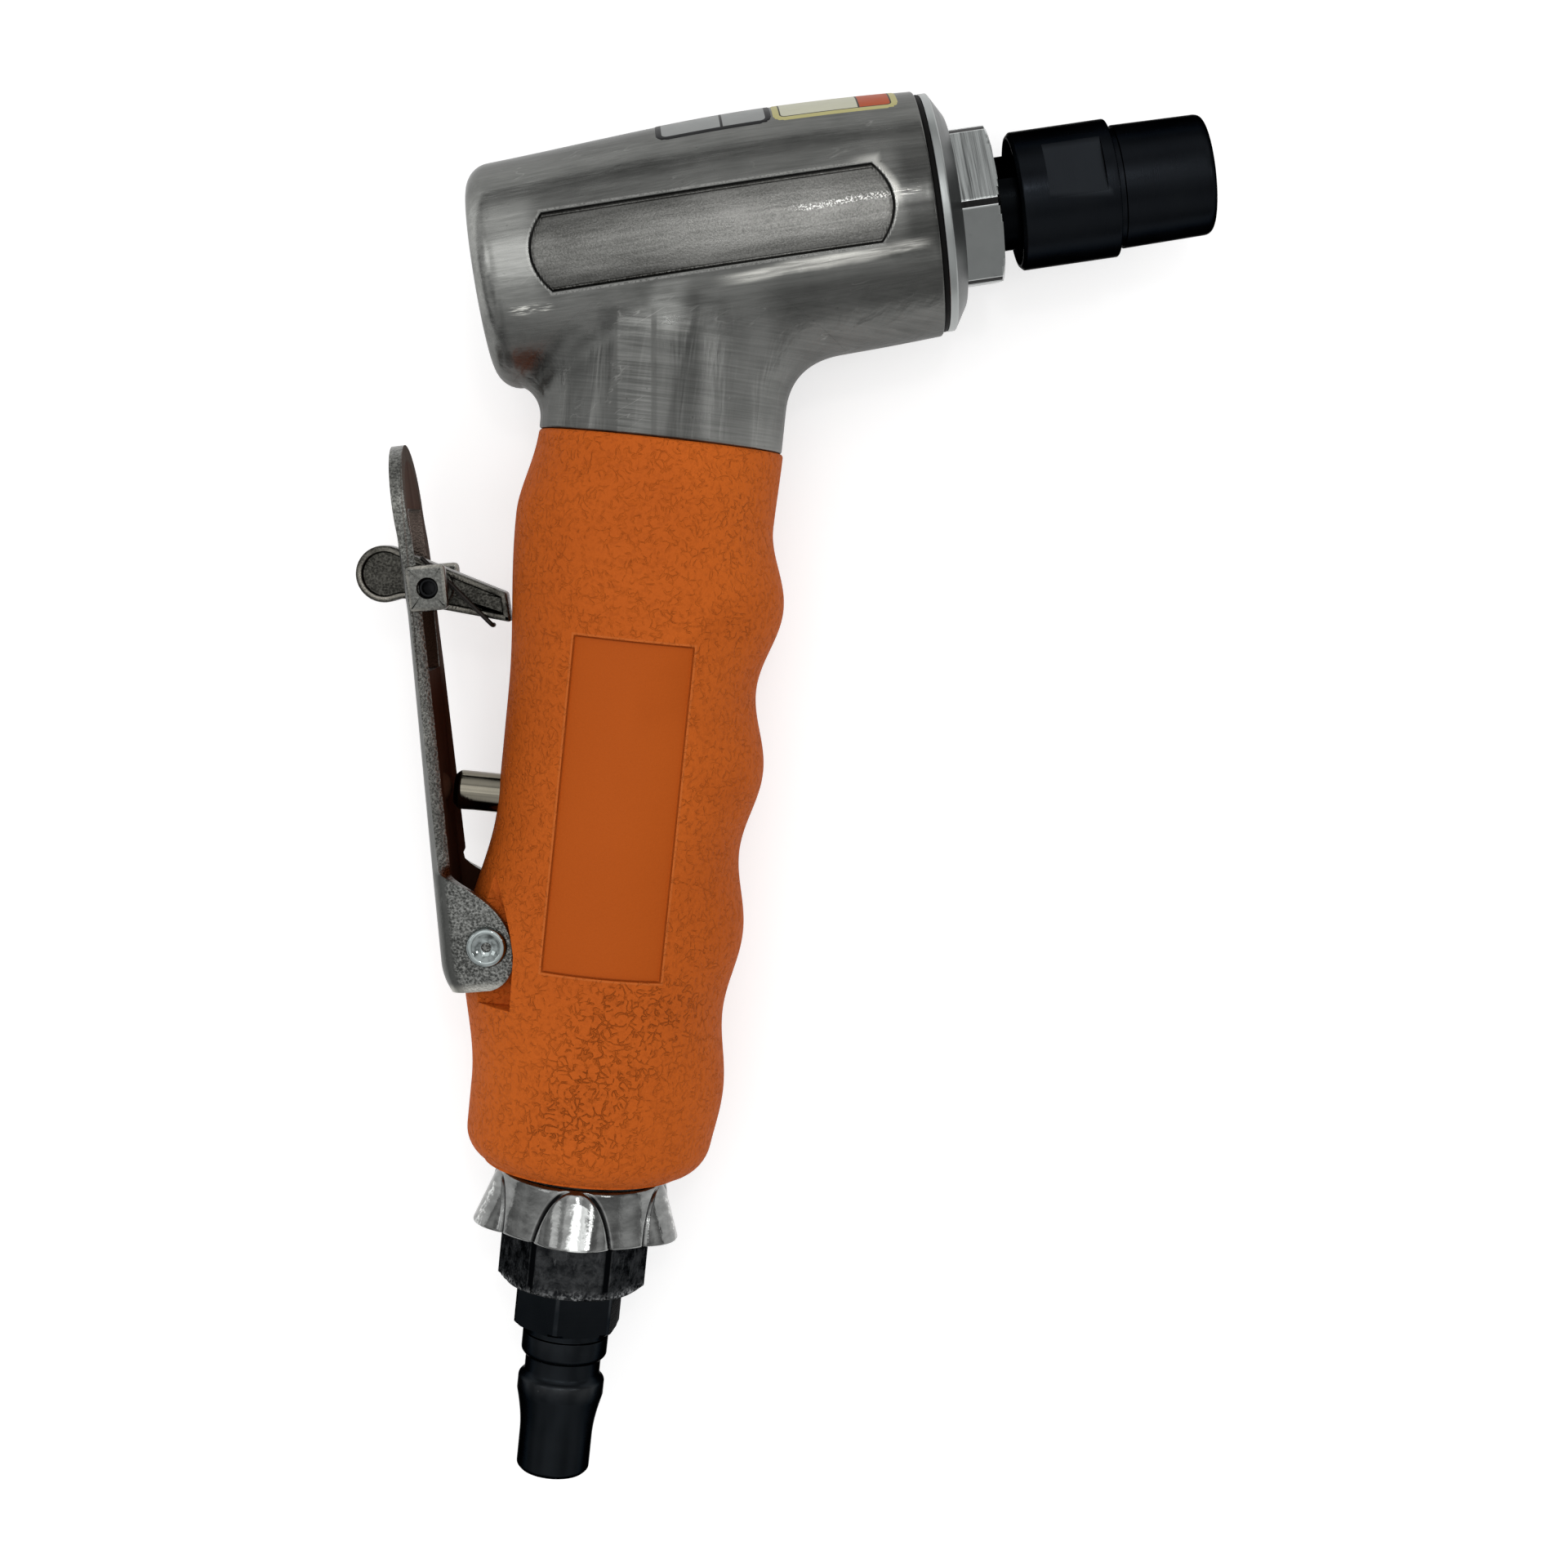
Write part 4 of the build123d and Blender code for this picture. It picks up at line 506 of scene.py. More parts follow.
def grainy_nickel(name, low, high, sparkle, edge_light=0.0, cut=0.0):
    """Nickel on steel sheet: satin where the sheet is bent, blasted and sparkling on the ears and by its own sparkle, a
    worn light rim at the foot of the ears, a painted highlight where marked as a rim, and on a cut edge painted shade
    on the slot's walls and a fainter dark line along the bend."""
    f = Finish(name, Metallic=1.0)
    x, y, z = f.place(LEAN, (*PIVOT, 0))
    grain, cell, cloud = f.noise(3500.0, 2.0, 0.65), f.cells(2600.0), f.noise(150.0, 4.0, 0.6)
    ear = (abs(z).step(10.80, 10.98) * y.step(13.0, 12.0)).most(sparkle)
    spark = (grain * 0.7 + cell * 0.3 + (cloud - 0.5) * 0.25).step(0.34, 0.76)
    worn = y.step(-4.7, -5.9) * edge_light * cloud.step(0.30, 0.55)
    hair = f.hairs((420, 60, 420), 0.5, LEAN + 0.25, 0.03, 0.006) * cloud.step(0.5, 0.62)
    # slot: painted shade on the slot's walls, darkest low down, and a fainter dark line along the bend
    slot = abs(z).step(7.75, 7.45) * y.band(36.5, 38.0, 60.5, 62.0) * x.step(-4.9, -5.1) * cut
    slot = slot.most(y.step(36.5, 38.0) * x.band(-6.02, -5.96, -5.86, -5.80) * cut * 0.6)
    base = f.coats(f.mix(0.35 + (cloud - 0.5) * 0.5 + (grain - 0.5) * 0.25, low, high),
                   (ear, f.mix(spark, times(0.6, low), times(1.6, high))),
                   (worn.least(1.0) * 0.7, (0.46, 0.45, 0.41)), (hair * 0.14, times(2.4, high)),
                   (slot, f.mix(y.step(47.0, 55.0), (0.012, 0.006, 0.004), (0.080, 0.062, 0.053))),
                   # painted highlight where marked as a rim
                   ((f.mark("rim") * edge_light * cloud.step(0.3, 0.6)).least(1.0), (0.52, 0.49, 0.43)))
    rough = 0.34 + (grain - 0.5) * 0.3 - ear * 0.06
    return f.done(base, rough, (grain + cell * 0.6) * (0.3 + 0.7 * ear), 0.5, 0.00014)


def stained_sheet():
    """The lever's inner face: dark brown oil film over the plating, lighter towards the top, where the rolled rim
    outside an ellipse is bare."""
    f = Finish("stained_sheet", Specular_IOR_Level=0.0)
    y, z = f.place(LEAN, (*PIVOT, 0))[1:]
    stain, grain = f.noise((420, 50, 420), turn=LEAN), f.noise(2600.0, 2.0)
    low = f.mix(stain, (0.028, 0.0105, 0.0062), (0.072, 0.031, 0.0185))
    high = f.mix(stain, (0.085, 0.064, 0.055), (0.220, 0.186, 0.164))
    top = (y - 61.0).most(0.0) / 9.0
    rolled = (z * z / 86.5 + top * top).step(0.54, 0.64) * y.step(34.0, 44.0)
    base = f.coats(low, (y.step(32.0, 52.0), high),
                   (rolled * 0.8, f.mix(grain, (0.09, 0.088, 0.080), (0.26, 0.255, 0.235))))
    return f.done(base, 0.42 + (grain - 0.5) * 0.2, grain, 0.15, 0.00008)


def black_oxide(name, turn, low, high):
    """Oiled black steel: turned marks, a soft gloss with a blue cast, a few light nicks, a painted reflection that
    lightens it where marked as a flat, and lighter where marked as an edge."""
    f = Finish(name, Metallic=1.0, Specular_Tint=grey(0.1))
    lathe, cloud = f.noise((6500, 60, 60), 2.0, turn=turn), f.noise(120.0, 4.0, 0.6)
    dust, rare = f.cells(560.0).step(0.03, 0.07), f.noise(230.0, 1.0).step(0.62, 0.70)
    base = f.coats(f.mix(cloud, low, high), ((1.0 - dust) * rare * 0.7, (0.10, 0.105, 0.11)),
                   # painted reflection: lighter on the flats
                   (f.mark("flat") * 0.8, times(2.0, high)),
                   (f.mark("edge") * cloud.step(0.35, 0.65) * 0.5, (0.06, 0.063, 0.066)))
    return f.done(base, 0.30 + (lathe - 0.5) * 0.12 + (cloud - 0.5) * 0.22, lathe, 0.10, 0.00007)


def worn_black():
    """The bushing: black oxide rubbed grey in blotches on its flats, black where marked as a corner, light nicks along
    its lower edge."""
    f = Finish("worn_black", Metallic=1.0, Specular_Tint=grey(0.15))
    blotch, fine = f.noise(520.0, 4.0, 0.65, 0.4), f.noise(2600.0, 2.0, 0.6)
    scrape = f.noise((2200, 420, 2200), 3.0, 0.6).step(0.60, 0.72)
    nick = f.mark("rim") * fine.step(0.40, 0.62) * blotch.step(0.35, 0.6)
    base = f.mix((blotch * 0.75 + fine * 0.25).step(0.32, 0.70), (0.007, 0.0078, 0.0088), (0.052, 0.054, 0.056))
    base = f.coats(base, (scrape * 0.55, (0.10, 0.104, 0.106)), (f.mark("corner"), (0.003, 0.0034, 0.004)),
                   (nick, (0.26, 0.265, 0.27)))
    return f.done(base, 0.40 + (blotch - 0.5) * 0.3, blotch + fine * 0.4, 0.22, 0.00010)


def mirror_chrome():
    """Chromed die casting: a mirror with the ripple, grease and pits of the casting beneath, painted shade in its
    grooves and a painted highlight along the crests of its lobes."""
    f = Finish("mirror_chrome", Metallic=1.0)
    ripple, peel = f.noise(260.0, 3.0, 0.5, 0.5), f.noise(1700.0, 2.0, 0.6)
    smear = f.noise((300, 700, 300), 4.0, 0.6)
    pits, few = f.cells(520.0).step(0.05, 0.13), f.noise(170.0, 2.0).step(0.54, 0.66)
    groove = f.mark("groove")
    # painted highlight along the crests of the lobes
    crest = (f.mark("crest") + (peel - 0.5) * 0.9 + (ripple - 0.5) * 0.8).step(0.30, 0.80)
    base = f.mix(smear.step(0.3, 0.75), (0.145, 0.148, 0.145), (0.262, 0.267, 0.261))
    base = f.coats(base, (crest, (0.82, 0.84, 0.825)), ((1.0 - pits) * few * 0.85, grey(0.010)),
                   # painted shade in the grooves
                   (groove, (0.006, 0.006, 0.0065)))
    rough = 0.11 + smear.step(0.45, 0.8) * 0.10 + groove * 0.2
    return f.done(base, rough, ripple + peel * 0.20 + pits * few * 0.3, 0.20, 0.00035)


def polished_steel(name, low, high):
    """Ground pin with a warm cast and turned rings, and painted shade where marked as an edge."""
    f = Finish(name, Metallic=1.0)
    lathe, edge = f.noise((6000, 80, 80), 3.0), f.mark("edge")
    # painted shade where marked as an edge
    base = f.coats(f.mix(f.noise(300.0, 3.0), low, high), (edge, (0.012, 0.009, 0.007)))
    return f.done(base, 0.10 + (lathe - 0.5) * 0.10 + edge * 0.3, lathe, 0.1, 0.00006)


def plain_metal(name, low, high, rough):
    """Machined parts inside the tool: a cloudy turned surface between two tones."""
    f = Finish(name, Metallic=1.0)
    lathe, cloud = f.noise((3000, 90, 90), 3.0, turn=TILT), f.noise(250.0)
    return f.done(f.mix(lathe * 0.5 + cloud * 0.5, low, high), rough + (cloud - 0.5) * 0.2, lathe, 0.1, 0.00006)


def cloudy(name, low, high, noise, rough, more, relief, **constants):
    """One noise between two tones that roughens and lifts it too: spring wire, nitrile with its bloom, matted hair."""
    f = Finish(name, **constants)
    cloud = f.noise(*noise)
    return f.done(f.mix(cloud, low, high), rough + cloud * more, cloud, *relief)


def fibre(name, low, high):
    """Pressed fibre: felt rods and vanes."""
    return cloudy(name, low, high, ((900, 2600, 900), 5.0, 0.7, 1.5), 0.75, 0.2, (0.5, 0.0003), Specular_IOR_Level=0.2)


def label(name, field, border, margin=None, block=None):
    """A printed label with no words: a field, a frame line and a cross line, or with a coloured block and a margin too.
    The mark frame is the distance from the label's edge in millimetres, the mark along runs from 0 to 1."""
    f = Finish(name, Specular_IOR_Level=0.08)
    u, near = f.mark("along"), f.mark("frame")
    cloud, scuff = f.noise(400.0, 3.0), f.noise((300, 2400, 2400), turn=TILT).step(0.6, 0.75)
    if block is None:
        inks = [(u.band(0.555, 0.562, 0.578, 0.585), border), (near.step(0.86, 0.76), border)]
    else:
        inks = [(u.step(0.684, 0.690), block), (u.band(0.676, 0.680, 0.690, 0.694), border),
                (near.step(1.10, 1.02), border), (near.step(0.90, 0.82), margin)]
    base = f.coats(f.mix(cloud * 0.5, field, times(0.86, field)), *inks, (scuff * 0.12, (0.2, 0.2, 0.19)))
    return f.done(base, 0.36 + cloud * 0.12 + scuff * 0.2, cloud, 0.05, 0.0001)


CASTING, RUBBER, CHROME = polished_casting(), orange_rubber(), mirror_chrome()
ZINC = bright_plating("brushed_zinc", (0.165, 0.173, 0.171), 0.22, 1.0)
PIN_ZINC = bright_plating("bright_zinc", (0.250, 0.278, 0.276), 0.08, 0.0)
NICKEL = grainy_nickel("satin_nickel", (0.070, 0.072, 0.068), (0.165, 0.168, 0.160), 0.0, 1.0)
CUT_NICKEL = grainy_nickel("cut_nickel", (0.060, 0.060, 0.055), (0.190, 0.191, 0.178), 0.65, 0.0, 1.0)
TAB_NICKEL = grainy_nickel("tab_nickel", (0.070, 0.071, 0.066), (0.170, 0.171, 0.160), 0.35, 0.8)
DULL_NICKEL = grainy_nickel("dull_nickel", (0.018, 0.0175, 0.015), (0.070, 0.068, 0.060), 0.6, 0.4)
STAINED = stained_sheet()
STEEL = polished_steel("polished_steel", (0.155, 0.142, 0.113), (0.235, 0.218, 0.176))
DARK_PIN = polished_steel("dark_pin", (0.004, 0.004, 0.0045), (0.010, 0.0105, 0.011))
NUT_BLACK = black_oxide("black_oxide", TILT, (0.0058, 0.0070, 0.0090), (0.0125, 0.0142, 0.0165))
# A darker copy of the black oxide: painted shade for the holder, which sits deep between the nuts.
SHADED_HOLDER_BLACK = black_oxide("black_oxide_holder_painted_shade", TILT, (0.0014, 0.0018, 0.0022), (0.0042, 0.0048, 0.0054))
PLUG_BLACK = black_oxide("black_oxide_plug", np.pi / 2, (0.0085, 0.0105, 0.0128), (0.0165, 0.0190, 0.0215))
BUSHING_BLACK = worn_black()
WIRE = cloudy("spring_wire", (0.008, 0.007, 0.006), (0.026, 0.022, 0.019), (900.0, 3.0), 0.34, 0.2, (0.15, 0.00006),
              Metallic=0.7)
SEAL = cloudy("seal_rubber", grey(0.0015), (0.006, 0.006, 0.0057), (420.0,), 0.5, 0.25, (0.15, 0.0001),
              Specular_IOR_Level=0.08)
INSIDE = {
    "cast_aluminium": CASTING, "grip_rubber": RUBBER, "plated_steel": ZINC, "nickel_steel": NICKEL,
    "black_steel": NUT_BLACK, "chrome": CHROME, "polished_steel": STEEL, "spring_steel": WIRE, "seal_rubber": SEAL,
    "bearing_steel": plain_metal("bearing_steel", (0.40, 0.40, 0.39), (0.62, 0.62, 0.61), 0.2),
    "brass": plain_metal("brass", (0.45, 0.29, 0.10), (0.66, 0.46, 0.18), 0.26),
    "vane_composite": fibre("vane_composite", (0.05, 0.03, 0.018), (0.11, 0.07, 0.04)),
    "felt": fibre("felt", (0.36, 0.34, 0.29), (0.62, 0.60, 0.54)),
}


# ---------------------------------------------------------------- head and neck

def barrel_r(t):
    """Radius of the head along the spindle: a quarter round at the back, a swell up to its fullest, a slight fall."""
    back = BACK_R + BACK_ROUND * np.sqrt(np.clip(1 - ((BACK_AT - t) / BACK_ROUND) ** 2, 0, 1))
    u = np.clip((t - BACK_AT) / (FULL_AT - BACK_AT), 0, 1)
    rise = BACK_R + BACK_ROUND + 1.87 * (u - u * u + u ** 3 - u * u) + 1.9 * (3 * u ** 2 - 2 * u ** 3)
    v = np.clip((t - FULL_AT) / 21.5, 0, 1)
    fall = FULL_R - 0.65 * (3 * v ** 2 - 2 * v ** 3) - 1.29 * (v ** 3 - v * v)
    return np.where(t < BACK_AT, back, np.where(t < FULL_AT, rise, fall))


def head_grid():
    """The barrel as a grid along t and round it. On both cheeks the lines follow constant q, so that the edges of the
    sunk panel lie along them; the panel's floor is lower by its depth, inside a steep wall. A soft ridge runs along the
    lower front."""
    wall = np.linspace(-0.25, 0.55, 11)
    t = np.unique(np.round(np.concatenate([
        BACK_AT - BACK_ROUND * np.cos(np.linspace(0, np.pi / 2, 10)), np.linspace(BACK_AT, -19.2, 8),
        np.arange(-19.2, -15.6, 0.09), np.linspace(-15.6, 26.8, 48), np.arange(26.8, 30.4, 0.09),
        np.linspace(30.4, MOUTH, 8)]), 4))
    q = np.unique(np.round(np.concatenate([np.linspace(-12, 12, 41), -4.6 + wall, 6.0 - wall]), 4))
    r = barrel_r(t)[:, None]
    cheek = np.arcsin(q[None] * np.minimum(1, r / 12.8) / r)
    last = cheek[:, -1:]
    over = last + (np.pi - 2 * last) * np.linspace(0, 1, 34)[None, 1:-1]
    a = np.concatenate([cheek, over, np.pi - cheek[:, ::-1], np.pi + over], 1)
    qq, tt = r * np.sin(a), t[:, None] + 0 * a
    bulge = PANEL_BOW * (1 - np.clip((qq - PANEL_MID) / PANEL_HALF, -1, 1) ** 2)
    inside = np.minimum(np.minimum(tt - PANEL_BACK + bulge, PANEL_FRONT + bulge - tt),
                        PANEL_HALF - np.abs(qq - PANEL_MID))
    rr = r - 0.45 * step(inside, -0.06, 0.26) - 0.10 * bell(inside, 0.3, 0.2)
    rr = rr + 0.20 * bell(qq, -6.2, 0.9) * step(tt, 9.0, 16.0) * step(tt, 34.0, 26.0)
    mouth = rounded([(MOUTH, 16.83, 0), (35.55, 16.75, 0.35), (35.55, 14.0, 0.3), (-22.5, 14.0, 0), (-22.5, 0, 0)])
    mouth[0, 1] = barrel_r(np.array(MOUTH))
    upright = lambda along, c, s: head(along, s, c)
    disc = np.linspace(0, BACK_R, 5)[:, None]
    return np.concatenate([polar(upright, BACK_AT - BACK_ROUND, disc, a[0]), polar(upright, tt, rr, a),
                           polar(upright, mouth[:, :1], mouth[:, 1:], a[-1])]), False, True


def held_r(t):
    """Radius of the head, held at its ends for places beyond them."""
    return barrel_r(np.clip(t, -26.9, 35.5))


def under_head(x, z):
    """Height of the underside of the barrel straight above a point of the plan, found by repeated substitution."""
    y = np.full(np.broadcast(x, z).shape, -16.0)
    for _ in range(40):
        r = held_r(x * np.cos(TILT) + y * np.sin(TILT))
        y = (x * np.sin(TILT) - np.sqrt(np.maximum(r * r - z * z, 0.02))) / np.cos(TILT)
    return y


def neck_grid(count=192):
    """The neck as a grid round the handle and up it: an upright wall, then a cubic curve that leaves the wall upright
    and meets the barrel along its own slope, then back down inside so that the skin closes. On the cheeks the curve
    ends just under the panel, held there by a soft minimum of q, and only ever bends one way."""
    f = angles(count)
    c, s = np.cos(f), np.sin(f)
    fore, aft = np.maximum(c, 0), np.maximum(-c, 0)
    reach, half, wall_low = np.where(c > 0, 17.85, 16.2), 15.3, SEAM + 1.0
    x, z = reach * c, half * s
    nx, nz = unit(np.stack([c / reach, s / half], -1)).T
    run = 0.9 + 6.6 * fore ** 1.6 + 3.6 * aft ** 1.6
    bx, bz = x + nx * run, z + nz * run
    by = under_head(bx, np.clip(bz, -16.6, 16.6))
    t = bx * np.cos(TILT) + by * np.sin(TILT)
    r = held_r(t)
    q = -np.sqrt(np.maximum(r * r - bz * bz, 0))
    q = -5.1 - np.logaddexp(0, 1.1 * (-5.1 - q)) / 1.1
    out = np.sqrt(np.maximum(r * r - q * q, 0)) * np.sign(bz)
    out = np.where(np.abs(bz) < np.abs(out), bz, out)
    normal = np.stack([-np.sin(TILT) * q / r, np.cos(TILT) * q / r, out / r], -1)
    b = head(t, q, out) + 0.012 * normal
    crease = under_head(x, np.clip(z, -15.4, 15.4))
    drop = 4.6 + 2.2 * fore ** 1.5 - 0.4 * aft
    low = np.maximum(np.minimum(crease, b[:, 1]) - drop, SEAM + 1.2)
    a = side(x, low, z)
    slope = unit(b - a - ((b - a) * normal).sum(-1, keepdims=True) * normal)
    k = 0.42 * np.linalg.norm(b - a, axis=-1, keepdims=True)
    leave, arrive = a + np.array([0.0, 1.0, 0.0]) * k, b - slope * k
    u = np.linspace(0, 1, 26)[:, None, None]
    blend = (1 - u) ** 3 * a + 3 * u * (1 - u) ** 2 * leave + 3 * u * u * (1 - u) * arrive + u ** 3 * b
    foot = rounded([(SEAM + 0.05, -1.9, 0), (SEAM + 0.05, 0, 0.35), (wall_low, 0, 0)], 5)
    bottom = side(x + nx * foot[:, 1:], foot[:, :1], z + nz * foot[:, 1:])
    v = np.linspace(0, 1, 12)[1:-1, None]
    wall = side(x, wall_low + (low - SEAM - 1.0) * v, z)
    inner = side(0.72 * x, -15.2, 0.72 * z)
    return np.concatenate([bottom, wall, blend, (b - normal * 0.6)[None], inner[None], bottom[:1]]), False, True


def carried(line, scale, depth):
    """A closed line of the side view carried through depths, drawn in about its middle by a scale at each."""
    middle = line.mean(0)
    flat = middle + (line - middle) * np.reshape(scale, (-1, 1, 1))
    return side(flat[..., 0], flat[..., 1], np.reshape(depth, (-1, 1))), False, True


def lug_grid():
    """The lug that carries the lever's pin: a round nose carried across the handle, its edges eased."""
    a = np.linspace(np.pi / 2, 3 * np.pi / 2, 25)
    nose = np.stack([PIVOT[0] + 4.6 * np.cos(a), PIVOT[1] + 4.6 * np.sin(a)], 1)
    line = np.concatenate([[[-2.0, PIVOT[1] + 7.0]], nose, [[-2.0, PIVOT[1] - 7.0]]])
    depth, size = rounded([(-5.5, 0, 0), (-5.5, 1, 0.3), (5.5, 1, 0.3), (5.5, 0, 0)], 4).T
    return carried(line, np.where(size > 0.5, 1 - (1 - size) * 0.2, size), depth)


core_skin = spun(handle, rounded([(SEAM + 4, 0, 0), (SEAM + 4, 14.2, 0), (-129.5, 14.2, 0.4), (-129.5, 9.5, 0.3),
                                  (BUSHING_TOP, 9.5, 0.3), (BUSHING_TOP, 0, 0)]), 64)
shell("casting", "handle", "cast_aluminium", CASTING, head_grid(), neck_grid(), lug_grid(), core_skin,
      stands_for=["motor_housing"], sharp=40)


# ---------------------------------------------------------------- grip

def swell(d, span):
    """A smooth hump of height 1 that fades to nothing at its span."""
    return np.where(np.abs(d) < span, (1 + np.cos(np.pi * d / span)) / 2, 0)


def grip_reach(y):
    """How far the grip reaches to the front, the back and the sides at a height."""
    fingers = (1 + np.cos(2 * np.pi * (y + 48.1) / 23.15)) / 2 * (2.65 - 0.02 * (-48.1 - y))
    front = 17.8 + np.where(y > -36.525, 0, fingers)
    back = 17.0 + 1.3 * swell(y + 39, 24) + 3.0 * swell(y + 99, 20)
    lead = step(y, SEAM - 12.0, SEAM + 1.0)
    return [own * (1 - lead) + end * lead for own, end in ((front, 18.1), (back, 16.15), (17.2, 16.15))]


def grip_grid():
    """The grip as a grid round the handle and down it. Each level is an oval of four quarter ellipses; the foot and the
    top edge are rounded in. On both cheeks the lines round the grip bunch up where x meets an edge of the bare plate,
    which is a shallow step with a fine raised edge."""
    heel, lip_r, bore, corner = 4.6, 0.5, 14.25, 0.5
    edge = np.linspace(-0.45, 0.45, 10)
    y = np.unique(np.round(np.concatenate([np.linspace(SEAM - lip_r, FOOT + heel, 230), PLATE_TOP + edge,
                                           PLATE_LOW + edge]), 4))[::-1]
    turn, lip = np.linspace(0, np.pi / 2, 12)[1:], np.linspace(np.pi / 2, 0, 6)[:-1]
    level = np.concatenate([SEAM - lip_r + lip_r * np.sin(lip), y, FOOT + heel - heel * np.sin(turn)])[:, None]
    inset = np.concatenate([lip_r * (1 - np.cos(lip)), 0 * y, heel * (1 - np.cos(turn))])[:, None]
    front, back, half = grip_reach(level)
    near, far = np.arccos((PLATE_MID + PLATE_HALF) / front), np.arccos((PLATE_MID - PLATE_HALF) / back)
    tight = edge[None, ::-1] / 15.0
    span = lambda a, b, n: a + (b - a) * np.linspace(0, 1, n)[None, 1:-1]
    start, end = 0 * level, np.pi + 0 * level
    f = np.sort(np.concatenate([start, span(start, near - 0.03, 52), near - tight, span(near + 0.03, far - 0.03, 60),
                                far - tight, span(far + 0.03, end, 52), end], 1), 1)
    f = np.concatenate([f, 2 * np.pi - f[:, -2:0:-1]], 1)
    c, s = np.cos(f), np.sin(f)
    reach, deep = np.where(c > 0, front, back) - inset, half - inset
    x, z = reach * c, deep * s
    in_y = np.minimum(PLATE_TOP - level, level - PLATE_LOW)
    inside = inside_of(PLATE_HALF - np.abs(x - PLATE_MID), in_y, corner)
    sunk = 0.42 * step(inside, -0.08, 0.16) - 0.06 * bell(inside, -0.2, 0.16)
    nx, nz = c / np.maximum(reach, 1), s / np.maximum(deep, 1)
    size = np.hypot(nx, nz)
    skin = side(x - sunk * nx / size, level, z - sunk * nz / size)
    foot, top = (polar(handle, place, bore, f[:1]) for place in (FOOT, SEAM))
    return np.concatenate([top, skin, foot]), True, True


def pocket_outline():
    """Side view of the pocket that an ear of the lever swings in, as a closed line."""
    px, py = PIVOT
    a, m, b = np.array([px - 1.2, py + 12.4]), np.array([px + 1.9, py + 6.2]), np.array([px + 4.0, py - 0.5])
    swing = parabola(a, 2 * m - (a + b) / 2, b, np.linspace(0, 1, 14)[:, None])
    return np.concatenate([[[2 * px, py + 14.4]], swing, [[px + 4.2, py - 8.2], [2 * px, py - 8.2]]])


def block(line, low, high):
    """A closed line of the side view carried from one depth to another, with flat ends."""
    return carried(line, [0, 1, 1, 0], [low, low, high, high])


def cut_from(piece, tools):
    """Takes closed grids out of a piece and keeps the result as its mesh."""
    for points in tools:
        tool = shell("tool", "handle", "grip_rubber", RUBBER, points)
        change = piece.modifiers.new("cut", "BOOLEAN")
        change.operation, change.solver, change.object = "DIFFERENCE", "EXACT", tool
        now = bpy.context.evaluated_depsgraph_get()
        mesh = bpy.data.meshes.new_from_object(piece.evaluated_get(now))
        piece.modifiers.clear()
        old, piece.data = piece.data, mesh
        bpy.data.meshes.remove(old)
        bpy.data.objects.remove(tool)
    smooth(piece.data, 35)


grip = shell("grip", "handle", "grip_rubber", RUBBER, grip_grid(), stands_for=["grip_sleeve"], sharp=50)
lug_hole = np.array([(-30, -93.6), (-2, -91.2), (-2, -105.2), (-30, -102.8)], float)
stem_hole = spun(valve, np.array([(-30, 0), (-30, 3.4), (-2, 3.4), (-2, 0)]), 40)
cut_from(grip, [block(pocket_outline(), 8.7, 30), block(pocket_outline(), -30, -8.7),
                block(lug_hole, -5.55, 5.55), stem_hole])


# ---------------------------------------------------------------- spindle end

def milled(before, after, keep, flats, start, end, turn, fine=12):
    """A turned bar with two flats milled between two places of its plain run, where the radius is no more than
    half the flats over the cosine; the profiles before and after the flats are whole. Also gives a mark that is 1 on
    the flats."""
    half = np.arccos(flats / 2 / keep)
    one = np.concatenate([np.linspace(-half, half, fine), np.linspace(half, np.pi - half, 2 * fine)[1:-1]])
    a = np.concatenate([one, one + np.pi]) + turn
    d = (a - turn + np.pi / 2) % np.pi - np.pi / 2
    on_flat = np.abs(d) <= half + 1e-6
    cut = np.where(on_flat, np.minimum(keep, flats / 2 / np.cos(d)), keep)
    whole = np.full(len(a), keep)
    t = np.concatenate([before[:, 0], [start, start, end, end], after[:, 0]])[:, None]
    r = np.concatenate([before[:, 1:] + 0 * a, [whole, cut, cut, whole], after[:, 1:] + 0 * a])
    mark = np.zeros(r.shape)
    mark[len(before) + 1:len(before) + 3] = on_flat
    return (polar(head, t, r, a), False, True), mark


seal_skin = spun(head, rounded([(35.5, 14.0, 0), (35.5, 16.25, 0.25), (36.3, 16.25, 0.25), (36.3, 14.0, 0),
                                (35.5, 14.0, 0)], 5))
shell("seal", "handle", "seal_rubber", SEAL, seal_skin, stands_for=["head_seal"])

flange = rounded([(36.3, 14.0, 0), (36.3, 16.3, 0.2), (37.35, 16.3, 0.16), (39.3, 13.1, 0.3), (39.3, 12.0, 0)], 7)
clamp_along = np.array([39.3, 39.5, 41.0, 43.0, 44.3, 44.43, 44.55, 44.68, 44.8])
clamp_rows = np.stack([clamp_along, np.interp(clamp_along, [44.3, 44.8], [11.75, 10.75])], 1)
clamp_skin, clamp_corner = hex_bar(head, 21.0, 11.75, np.radians(3.5), clamp_rows,
                                   [(44.8, 7.5), (44.0, 7.1), (40.0, 7.1)], flange)[:2]
shell("clamp_nut_skin", "handle", "plated_steel", ZINC, clamp_skin, stands_for=["clamp_nut"], sharp=14,
      corner=[clamp_corner])

